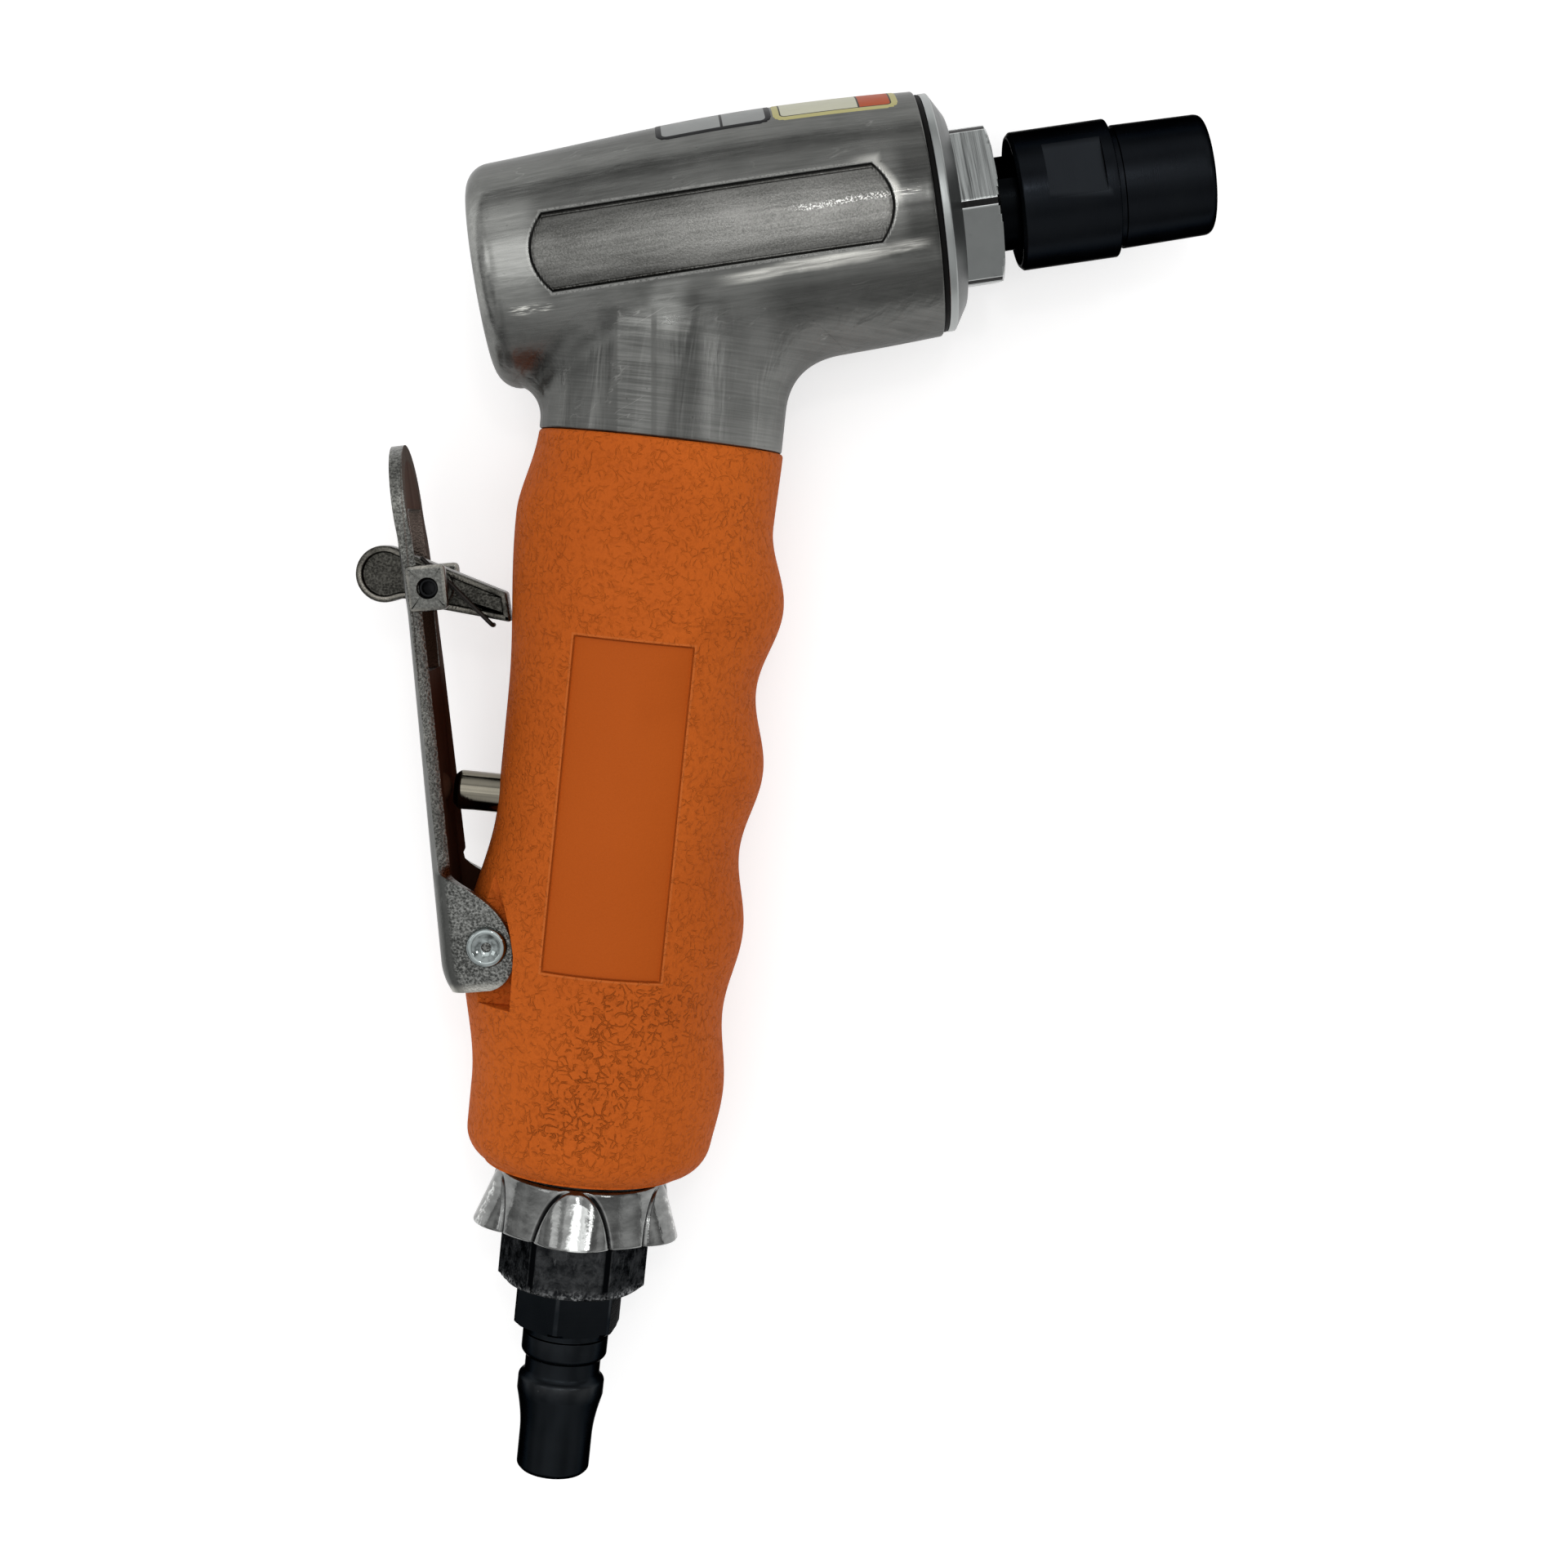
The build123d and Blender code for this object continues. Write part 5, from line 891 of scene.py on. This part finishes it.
holder_skin = milled(np.array([(38.0, 0), (38.0, 6.45)]), np.array([(62.5, 6.45), (62.5, 0)]), 6.45, 11.0, 45.2, 48.6,
                     np.radians(34))[0]
shell("holder_skin", "spindle", "black_steel", SHADED_HOLDER_BLACK, holder_skin, stands_for=["collet_holder"], sharp=25)
nut_back = rounded([(49.5, 6.5, 0), (49.5, 8.62, 0.3), (47.7, 8.62, 0.08), (47.7, 8.97, 0.08), (48.2, 9.47, 0.12),
                    (51.0, 9.47, 0)])
nut_front = rounded([(60.4, 9.47, 0), (61.4, 9.47, 0.3), (61.4, 8.1, 0.1), (62.3, 8.1, 0.1), (62.3, 8.45, 0.12),
                     (73.4, 8.27, 0), (74.9, 8.25, 1.2), (74.9, 5.0, 0.3), (74.6, 4.9, 0.1), (72.3, 4.9, 0.1),
                     (71.6, 4.2, 0), (63.0, 5.3, 0), (63.0, 6.5, 0), (49.5, 6.5, 0)], 8)
# nut_flat_sheen marks the nut's flats for a painted reflection
nut_skin, nut_flat_sheen = milled(nut_back, nut_front, 9.47, 17.2, 51.7, 59.7, np.radians(73))
shell("nut_skin", "spindle", "black_steel", NUT_BLACK, nut_skin, stands_for=["collet_nut"], sharp=22, flat=[nut_flat_sheen])


# ---------------------------------------------------------------- throttle lever and latch

def rounded_line(corners, spread):
    """A closed line through corners (x, y, round), each eased, with points spread along its runs."""
    line = rounded(corners, 8, True)
    place = np.concatenate([[0], np.cumsum(np.linalg.norm(np.roll(line, -1, 0) - line, axis=1))])
    stops = np.unique(np.round(np.concatenate([np.arange(0, place[-1], spread), place[:-1]]), 5))
    shut = np.concatenate([line, line[:1]])
    out = np.stack([np.interp(stops, place, shut[:, k]) for k in (0, 1)], 1)
    gap = np.linalg.norm(np.roll(out, -1, 0) - out, axis=1)
    return out[gap > 1e-3]


def slab(place, line, centre, rows):
    """A closed line that runs anticlockwise, carried through rows (inset, depth): positive insets draw the line in
    along its normals, and a row (None, depth, radius) lies on a circle about the centre instead. Both ends meet in
    the hole."""
    along = unit(np.roll(line, -1, 0) - np.roll(line, 1, 0))
    n = np.stack([along[:, 1], -along[:, 0]], 1)
    a = np.arctan2(line[:, 1] - centre[1], line[:, 0] - centre[0])
    ringed = np.stack([np.cos(a), np.sin(a)], 1)
    flat = np.array([np.array(centre) + ringed * row[2] if row[0] is None else line - n * row[0] for row in rows])
    return place(flat[..., 0], flat[..., 1], np.array([[row[1]] for row in rows], float)), True, True


def ear_edge(y):
    """How far an ear reaches towards the handle at a height: a bow of power 2.35 above the pin, an ellipse below."""
    above = 3.45 - 0.0294 * np.maximum(y + 1, 0) ** 2.35
    return np.where(y < -2, -0.6 + 4.05 * np.sqrt(np.clip(1 - ((y + 2) / 4.2) ** 2, 0, 1)), above)


def lever_plan():
    """The lever's outer face as patches: x from its bend and its rounded foot, y up, z across. Along each side the
    sheet bends round a radius, a little along its length and through a right angle at the foot, where it runs on as
    the ear. The middle is left open above the slot's foot, and the tip is a half ellipse."""
    radius, brim, right, slot, tip_half = 2.6, 0.55, np.pi / 2, 6.95, 9.3
    slot_foot, tip_at, tip_tall = 38.5, 61.0, 9.0
    bend = lambda y: (-6.75 - np.maximum(y - 46.3, 0) * np.tan(np.radians(2.3)) * step(y, 45.3, 48.3)
                      + 1.15 * (np.maximum(-1.5 - y, 0) / 4.65) ** 2.2)
    half = lambda y: 11.0 - (11.0 - tip_half) * np.clip((y - 12.0) / 33.5, 0, 1)
    inner = lambda y: 8.4 - 0.5 * np.clip((y - 11.2) / 27.3, 0, 1)
    grids = []
    patch = lambda z, y: grids.append((bend(y), y, z))
    low = np.concatenate([-6.15 + 3.0 * (1 - np.cos(np.linspace(0, right, 12))), np.linspace(-3.15, 20.0, 40)[1:],
                          np.linspace(20.0, slot_foot, 9)[1:]])[:, None]
    edge = np.linspace(0, 1, 20)[None]
    side_cols, cols = np.linspace(0, 1, 3)[None], np.linspace(-slot, slot, 9)[1:-1]
    flank = slot + (inner(low) - slot) * side_cols
    patch(np.concatenate([-flank[:, ::-1], cols + 0 * low, flank], 1), low)

    def flank_of(y, turn, length):
        s = edge * length
        angle, on = np.minimum(s / radius, turn), np.maximum(s - radius * turn, 0)
        x = bend(y) + radius * (1 - np.cos(angle)) + on * np.sin(turn)
        z = inner(y) + radius * np.sin(angle) + on * np.cos(turn)
        grids.extend([(x, y, z), (x, y, -z)])

    ear = right * radius + ear_edge(low) - bend(low) - radius
    flank_of(low, np.maximum(right * step(low, 12.2, 9.0), brim), np.maximum(ear, half(low) - inner(low) + 0.25))
    high = np.linspace(slot_foot, tip_at, 12)[:, None]
    fade = step(high, tip_at, 50.0)
    flank_of(high, brim * fade, half(high) - inner(high) + 0.25 * fade)
    strip = slot + 0.95 * side_cols
    patch(strip, high)
    patch(-strip, high)
    strip = np.concatenate([strip, 7.9 + 1.4 * edge[:, 1:]], 1)[0]
    u = np.concatenate([-strip[::-1], cols, strip])[None] / tip_half
    v = np.linspace(0, 1, 10)[:, None]
    patch(tip_half * u * np.sqrt(1 - v * v / 2), tip_at + tip_tall * v * np.sqrt(1 - u ** 2 / 2))
    return [(lever(*g), False, False) for g in grids]


def thicken(piece, thick, inward, edge, *finishes):
    """Gives a sheet its thickness on one side, marks the new inner face and eases the edges."""
    mesh = piece.data
    soft = bmesh.new()
    soft.from_mesh(mesh)
    bmesh.ops.recalc_face_normals(soft, faces=soft.faces)
    if sum(f.normal.dot(Vector(inward)) * f.calc_area() for f in soft.faces) > 0:
        bmesh.ops.reverse_faces(soft, faces=soft.faces)
    soft.to_mesh(mesh)
    soft.free()
    for finish in finishes:
        mesh.materials.append(finish)
    wall = piece.modifiers.new("thick", "SOLIDIFY")
    wall.thickness, wall.offset, wall.use_even_offset = thick / 1000, -1.0, True
    wall.material_offset, wall.material_offset_rim = 1, 2
    ease = piece.modifiers.new("ease", "BEVEL")
    ease.width, ease.segments, ease.limit_method, ease.angle_limit = edge / 1000, 3, "ANGLE", np.radians(38)
    ease.harden_normals = False


lever_piece = shell("lever_plate", "lever", "nickel_steel", NICKEL, *lever_plan(), stands_for=["throttle_lever"],
                    sharp=40)
thicken(lever_piece, 1.8, (np.cos(LEAN), np.sin(LEAN), 0), 0.4, STAINED, CUT_NICKEL)

tab_line = rounded_line([(-6.45, 46.9, 0.7), (-1.0, 46.9, 0.9), (-1.0, 53.2, 0.9), (-6.45, 53.2, 0.7)], 0.5)
tab_rows = lambda low, high: [(0.3, low), (0.08, low + 0.08), (0.0, low + 0.3), (0.0, high - 0.35), (0.1, high - 0.1),
                              (0.35, high), (0.6, high), (None, high, 1.5), (None, high - 0.15, 1.38),
                              (None, low + 0.1, 1.38), (None, low, 1.5)]
tabs = [slab(lever, tab_line, (-3.6, 50.0), tab_rows(*z)) for z in ((7.5, 9.42), (-9.42, -7.5))]
# tab_rim_highlight: where the tabs get a painted highlight along their rims
tab_rim_highlight = np.array([[{0.08: 0.7, 0.1: 0.7, 0.35: 0.35}.get(row[0], 0.0)] for row in tab_rows(7.5, 9.42)])
shell("lever_tabs", "lever", "nickel_steel", TAB_NICKEL, *tabs, sharp=40, rim=[tab_rim_highlight, tab_rim_highlight])
dome = np.linspace(0, np.pi / 2, 10)
boss = spun(lambda x, b, z: lever(x, 21.855 + b, z), np.stack([-6.28 + 2.4 * np.sin(dome), 2.4 * np.cos(dome)], 1), 32)
# The boss takes the dark stained finish as painted shade.
shell("lever_boss_painted_shade", "lever", "nickel_steel", STAINED, boss, sharp=40)

pin_profile = rounded([(0, 2.0, 0), (11.05, 2.0, 0), (11.05, 2.9, 0.08), (11.95, 2.66, 0.35), (12.0, 2.05, 0.2),
                       (11.45, 1.3, 0.6), (11.3, 0.66, 0.1), (10.7, 0.6, 0.1), (10.7, 0, 0)], 8)
pin_skins = [spun(lambda a, b, c, way=way: lever(b, c, way * a), pin_profile, 64) for way in (1, -1)]
# pin_hole_shade: painted shade in the pin head's hole, read as the corner mark
pin_hole_shade = step(pin_profile[:, 1:], 0.72, 0.62) * (pin_profile[:, :1] > 5)
shell("lever_pin", "handle", "plated_steel", PIN_ZINC, *pin_skins, stands_for=["pivot_pin"], corner=[pin_hole_shade] * 2)

thumb = np.radians(np.linspace(-52, -285, 60))
thumb = np.stack([-7.1 + 3.98 * np.cos(thumb), 3.98 * np.sin(thumb), 0 * thumb], 1)
arm = [(10.0, 1.9, 0.4), (11.6, -1.95, 0.4), (-1.2, -2.95, 1.4), (-3.5, -2.5, 1.0)]
latch_line = rounded_line([*thumb.tolist(), *arm][::-1], 0.4)
latch_half = [(0.0, 0.0), (0.0, 2.2), (0.06, 2.42), (0.2, 2.5), (0.62, 2.5), (0.78, 2.42), (0.86, 1.75), (1.0, 1.6),
              (None, 1.6, 2.95), (None, 1.75, 2.75), (None, 2.4, 2.7), (None, 2.5, 2.5), (None, 2.5, 1.5),
              (None, 2.3, 1.4)]
latch_rows = [(*row[:1], -row[1], *row[2:]) for row in latch_half[::-1]] + latch_half[1:]
# latch_rim_highlight: where the latch gets a painted highlight along its rims
latch_rim_highlight = np.array([[{0.62: 1.0, 0.78: 1.0, 0.06: 0.3}.get(row[0], 0.0)] for row in latch_rows])
shell("latch_skin", "latch", "nickel_steel", DULL_NICKEL, slab(latch, latch_line, (0, 0), latch_rows),
      stands_for=["safety_latch"], sharp=40, rim=[latch_rim_highlight])
roll_pin = rounded([(-4.0, 0, 0), (-4.0, 0.85, 0), (-8.3, 0.85, 0.1), (-8.3, 1.35, 0.15), (8.3, 1.35, 0.15),
                    (8.3, 0.85, 0.1), (4.0, 0.85, 0), (4.0, 0, 0)], 4)
shell("latch_pin_skin", "lever", "polished_steel", DARK_PIN,
      spun(lambda a, b, c: latch(b, c, a), roll_pin, 40), stands_for=["latch_pin"])


def tube(place, path, radius, count=14):
    """A round wire carried along a path: at each point a circle in the plane square to the path."""
    along = unit(np.gradient(path, axis=0))
    across = unit(np.cross(along, [0.25, 0.9, 0.35]))
    over = np.cross(along, across)
    a = angles(count)[None, :, None]
    size = np.full(len(path), radius)
    size[[0, -1]] = 0
    wire = path[:, None] + size[:, None, None] * (np.cos(a) * across[:, None] + np.sin(a) * over[:, None])
    return place(wire[..., 0], wire[..., 1], wire[..., 2]), False, True


wind, coil_r, rise = np.radians(59.6), 2.15, 1.35
turns = np.linspace(0, 4 * np.pi, 90)
coil = side(coil_r * np.cos(wind + turns), coil_r * np.sin(wind + turns), 3.824 + rise * turns / (2 * np.pi))
lead = unit(np.array([-np.sin(wind), np.cos(wind), rise / (2 * np.pi * coil_r)]))
leg = coil[0] - lead * np.linspace(9.0, 0.1, 30)[:, None]
down, bend_r = np.array([0, 0, -1.0]), 0.6
hook_turn = np.linspace(0, np.pi / 2, 8)[:, None]
hook = leg[0] - lead * bend_r * np.cos(hook_turn) + down * bend_r * (1 - np.sin(hook_turn))
tip = hook[0] + down * np.linspace(1.6, 0.1, 8)[:, None]
away = unit(np.array([-np.sin(wind), np.cos(wind), 0.1]))
foot = coil[-1] + away * np.linspace(0.1, 4.0, 12)[:, None]
shell("latch_spring_skin", "latch", "spring_steel", WIRE,
      tube(latch, np.concatenate([tip, hook, leg, coil, foot]), 0.325), stands_for=["latch_spring"])

low, high = (np.array(corner) * 1000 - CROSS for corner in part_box("valve_spring"))
coil_wire, coil_turns = 0.3, 3.5
climb = np.linspace(0, 1, 240)
coil_turn = 2 * np.pi * coil_turns * climb
coil_ring = (high[2] - low[2]) / 2 - coil_wire
valve_path = side(low[0] + coil_wire + (high[0] - low[0] - 2 * coil_wire) * climb,
                  (low[1] + high[1]) / 2 + coil_ring * np.cos(coil_turn),
                  (low[2] + high[2]) / 2 + coil_ring * np.sin(coil_turn))
valve_coil = shell("valve_spring_skin", None, "spring_steel", WIRE, tube(side, valve_path, coil_wire),
                   stands_for=["valve_spring"])
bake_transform(valve_coil)

stem_rest = rounded([(-23.3, 0, 0), (-23.3, 2.1, 0.25), (-22.5, 2.8, 0.3), (-3.0, 2.8, 0.2), (-3.0, 1.6, 0.2),
                     (3.1, 1.6, 0), (3.1, 4.1, 0.1), (4.3, 4.1, 0.1), (4.3, 1.2, 0), (7.3, 1.2, 0.2), (7.3, 0, 0)], 6)
# edge marks the stem's end by the lever, which gets painted shade
shell("stem_skin", "valve", "polished_steel", STEEL, spun(valve, stem_rest, 64), stands_for=["valve_stem"],
      edge=[step(-stem_rest[:, :1], 22.35, 22.6)])


# ---------------------------------------------------------------- foot of the handle

def deflector_grid(count=900, rows=90):
    """The exhaust knob as a grid round the handle and down it: a cone with a round shoulder, and five leaning round
    lobes that grow out of it. A lobe's radius at an angle d from its middle is c cos d + sqrt(r r - c c sin sin); the
    larger radius wins, and a groove follows the line where they meet, by the distance to it. Five vents are pits in
    the face that lies down. Also gives marks that are 1 in the grooves, for painted shade, and along the crests of
    the lobes, for a painted highlight that is strongest on the lobe facing the viewer."""
    lobe_r, girth, fifth = 6.6, 14.0, 2 * np.pi / 5
    f, v = angles(count), np.linspace(0, 1, rows)[:, None]
    y = KNOB_TOP - KNOB_TALL * v
    cone = 12.1 + 1.5 * v
    d = (f - np.pi / 2 + fifth / 2) % fifth - fifth / 2
    c = (11.95 + 3.3 * v) - lobe_r
    over = c * np.cos(d) + np.sqrt(np.maximum(lobe_r ** 2 - (c * np.sin(d)) ** 2, 0)) - cone
    steep = np.hypot(np.gradient(over, axis=0) / (KNOB_TALL / (rows - 1)),
                     np.gradient(over, axis=1) / (13 * 2 * np.pi / count))
    groove = bell(over / np.maximum(steep, 0.12), -0.16, 0.24) * step(v, 0.06, 0.2)
    r = cone + np.maximum(over, 0) - 0.34 * groove
    r = r - 0.45 * (1 - np.sqrt(np.clip(1 - ((v - 0.95) / 0.05) ** 2, 0, 1))) * (v > 0.95)
    r = r - 1.1 * (1 - np.sqrt(np.clip(1 - ((0.15 - v) / 0.15) ** 2, 0, 1))) * (v < 0.15)
    for k in range(-2, 3):
        off = ((f + np.pi / 2 - np.radians(13.0 * k) + np.pi) % (2 * np.pi) - np.pi) * girth
        r = r - 1.3 * (1 - step(np.hypot(off, y + 133.9), 0.5, 0.68))
    ring = np.array([(-139.0, 9.55), (KNOB_TOP, 9.55), (KNOB_TOP, 10.55), (-137.3, 10.55), (-137.3, 11.0),
                     (KNOB_TOP, 10.8)])
    skin = np.concatenate([polar(handle, y, r, f), polar(handle, ring[:, :1], ring[:, 1:], f)])
    none = np.zeros((len(ring), count))
    crest = bell(d * girth, -0.07 * girth, 1.5) * (over > 0.3) * step(v, 0.05, 0.3) * (0.45 + 0.55 * (np.sin(f) > 0.8))
    return (skin, True, True), np.concatenate([np.clip(1.25 * groove - 0.2, 0, 1), none]), np.concatenate([crest, none])


# knob_groove_shade and knob_crest mark where the chrome gets painted shade and a painted highlight
knob_skin, knob_groove_shade, knob_crest = deflector_grid()
shell("deflector_skin", "deflector", "chrome", CHROME, knob_skin, stands_for=["exhaust_deflector"], sharp=30,
      groove=[knob_groove_shade], crest=[knob_crest])

top, low = BUSHING_TOP, PLUG_TOP
bushing_rows = [*[(top - 0.55 * k / 3, 9.5 + 1.1 * k / 3) for k in (0, 1, 2, 3)],
                *[(top + (low - top) * k, 10.6) for k in (0.2, 0.35, 0.5, 0.65, 0.8, 0.9)],
                *[(low + 0.55 * k / 3, 9.5 + 1.1 * k / 3) for k in (3, 2, 1, 0)]]
bushing_skin, bushing_corner, bushing_rim = hex_bar(handle, 19.0, 10.6, np.pi / 2, bushing_rows,
                                                     [(low, 6.0), (top, 6.0)])
thread = spun(handle, rounded([(top, 4.0, 0), (top, 6.0, 0), (-119.4, 6.0, 0.5), (-119.4, 4.0, 0), (top, 4.0, 0)]), 48)
shell("bushing_skin", "handle", "black_steel", BUSHING_BLACK, bushing_skin, thread, stands_for=["inlet_bushing"],
      sharp=14, corner=[bushing_corner, 0.0], rim=[bushing_rim, 0.0])

plug = PLUG_TOP
plug_rows = [(plug, 7.2), (plug - 0.35, 7.9), (plug - 2, 7.9), (plug - 5.9, 7.9), (plug - 6.3, 7.4)]
plug_hex, plug_edge = hex_bar(handle, 14.0, 7.9, np.radians(-21) + np.pi / 2, plug_rows,
                              [(plug - 6.3, 3.3), (plug, 3.3)])[:2]
nose = np.linspace(0, 1, 14)
taper = np.stack([-16.3 - 6.3 * nose, 6.25 - 0.98 * (1.6 * nose - 0.6 * nose ** 2.6), 0 * nose], 1)
plug_line = rounded([(-6.2, 3.3, 0), (-6.2, 5.75, 0), (-7.6, 5.75, 0.15), (-7.6, 6.2, 0.12), (-10.3, 6.2, 0.3),
                     (-11.0, 5.6, 0.2), (-11.0, 5.45, 0.1), (-13.4, 5.45, 0.5), (-14.1, 6.25, 0.35), *taper.tolist(),
                     (-27.5, 5.27, 0.3), (-28.2, 4.6, 0.3), (-28.2, 3.3, 0.2), (-6.2, 3.3, 0)], 6)
turned_edge = bell(plug_line[:, :1], -14.4, 0.4) + bell(plug_line[:, :1], -8.0, 0.3)
shell("plug_skin", "handle", "black_steel", PLUG_BLACK, plug_hex, spun(handle, plug_line + (plug, 0), 96),
      stands_for=["air_plug"], sharp=24, edge=[plug_edge, turned_edge])


# ---------------------------------------------------------------- labels

def label_grid(start, end, half):
    """A label laid on top of the head: a patch along t and round the barrel, a hair proud, its corners cut round by
    sinking the grid outside a rounded rectangle."""
    u, v = np.meshgrid(np.linspace(0, 1, 70), np.linspace(-1, 1, 60), indexing="ij")
    t, a, girth = start + (end - start) * u, half * v, 17.2
    inside = inside_of((end - start) / 2 - np.abs(t - (start + end) / 2), half * girth - np.abs(a) * girth, 1.6)
    lift = 0.07 * step(inside, 0.0, 0.08) - 0.12 * step(-inside, 0.0, 0.05)
    return (polar(head, t, barrel_r(t) + lift, a), False, False), u, inside


for name, start, end, finish in (
        ("label_plain", -0.06, 15.75, label("label_plain", (0.33, 0.34, 0.335), (0.010, 0.010, 0.011))),
        ("label_cream", 16.0, 33.0, label("label_cream", (0.63, 0.625, 0.49), (0.035, 0.033, 0.025),
                                          (0.52, 0.48, 0.22), (0.46, 0.075, 0.016)))):
    grid, u, near = label_grid(start, end, np.radians(36.5))
    shell(name, "handle", "cast_aluminium", finish, grid, along=[u], frame=[near])


# ---------------------------------------------------------------- hidden parts, stage, camera

for entry in frame["record"]["subparts"]:
    node = frame["nodes"][entry["node"]]
    node.data.materials.clear()
    node.data.materials.append(INSIDE[entry["material_slot"]])


def lamp(name, place, aim, size, power):
    """A square soft lamp at a place, turned towards an aim, in metres."""
    data = bpy.data.lights.new(name, "AREA")
    data.size, data.energy = size, power
    item = bpy.data.objects.new(name, data)
    item.location = place
    item.rotation_euler = (Vector(aim) - Vector(place)).to_track_quat("-Z", "Y").to_euler()
    bpy.context.scene.collection.objects.link(item)


floor_mesh = bpy.data.meshes.new("floor")
wide, under = 30.0, -0.0002
floor_mesh.from_pydata([(-wide, -wide, under), (wide, -wide, under), (wide, wide, under), (-wide, wide, under)],
                       [], [(0, 1, 2, 3)])
floor = bpy.data.objects.new("floor", floor_mesh)
bpy.context.scene.collection.objects.link(floor)
pale = Finish("pale_floor", Base_Color=grey(0.72), Roughness=0.9, Specular_IOR_Level=0.0, Emission_Strength=1.0)
camera_ray, glossy_ray, clear_ray = (pale.node("ShaderNodeLightPath", out=f"Is {ray} Ray")
                                     for ray in ("Camera", "Glossy", "Transmission"))
seen = camera_ray.most(glossy_ray).most(clear_ray)
floor_mesh.materials.append(pale.put(Emission_Color=pale.mix(seen, grey(0), grey(0.56))))

bpy.context.scene.world = bpy.data.worlds.new("room")
room = Finish("room", bpy.context.scene.world, "Background")
way = room.node("ShaderNodeTexCoord", out="Generated")
height = room.axis(way, 2).most(0.0)
patches = room.noise(1.9, 2.0, 0.5, where=way).step(0.30, 0.70, 0.45, 1.65)
room.put(Color=room.mix(((0.30 + 0.55 * height) * patches).least(1.0), grey(0), grey(1.0)))
lamp("key", (-0.05, 0.20, 0.75), (0, 0, 0.02), 0.5, 0.70)
lamp("window", (0.026, 0.25, 0.70), (0, 0, 0.02), 0.05, 0.17)
lamp("side", (0.40, 0.16, 0.50), (0, -0.05, 0.02), 0.10, 0.20)
lamp("left", (-0.50, 0.12, 0.50), (0, 0, 0.02), 0.22, 0.22)

camera = bpy.data.cameras.new("camera")
camera.sensor_width = 36.0
camera.lens = 36.0 * 3024.8 / 1920
camera.clip_start, camera.clip_end = 0.01, 60
eye, aim = metres([12.866, -38.056, 349.898]), metres([23.124, -72.41, 0.0])
back = Vector(eye - aim).normalized()
roll = np.radians(6.061)
right = Vector((-np.sin(roll), np.cos(roll), 0)).cross(back).normalized()
above = back.cross(right)
view = bpy.data.objects.new("camera", camera)
view.matrix_world = Matrix.Translation(Vector(eye)) @ Matrix((right, above, back)).transposed().to_4x4()
bpy.context.scene.collection.objects.link(view)
bpy.context.scene.camera = view

bpy.context.scene.view_settings.view_transform = "Standard"
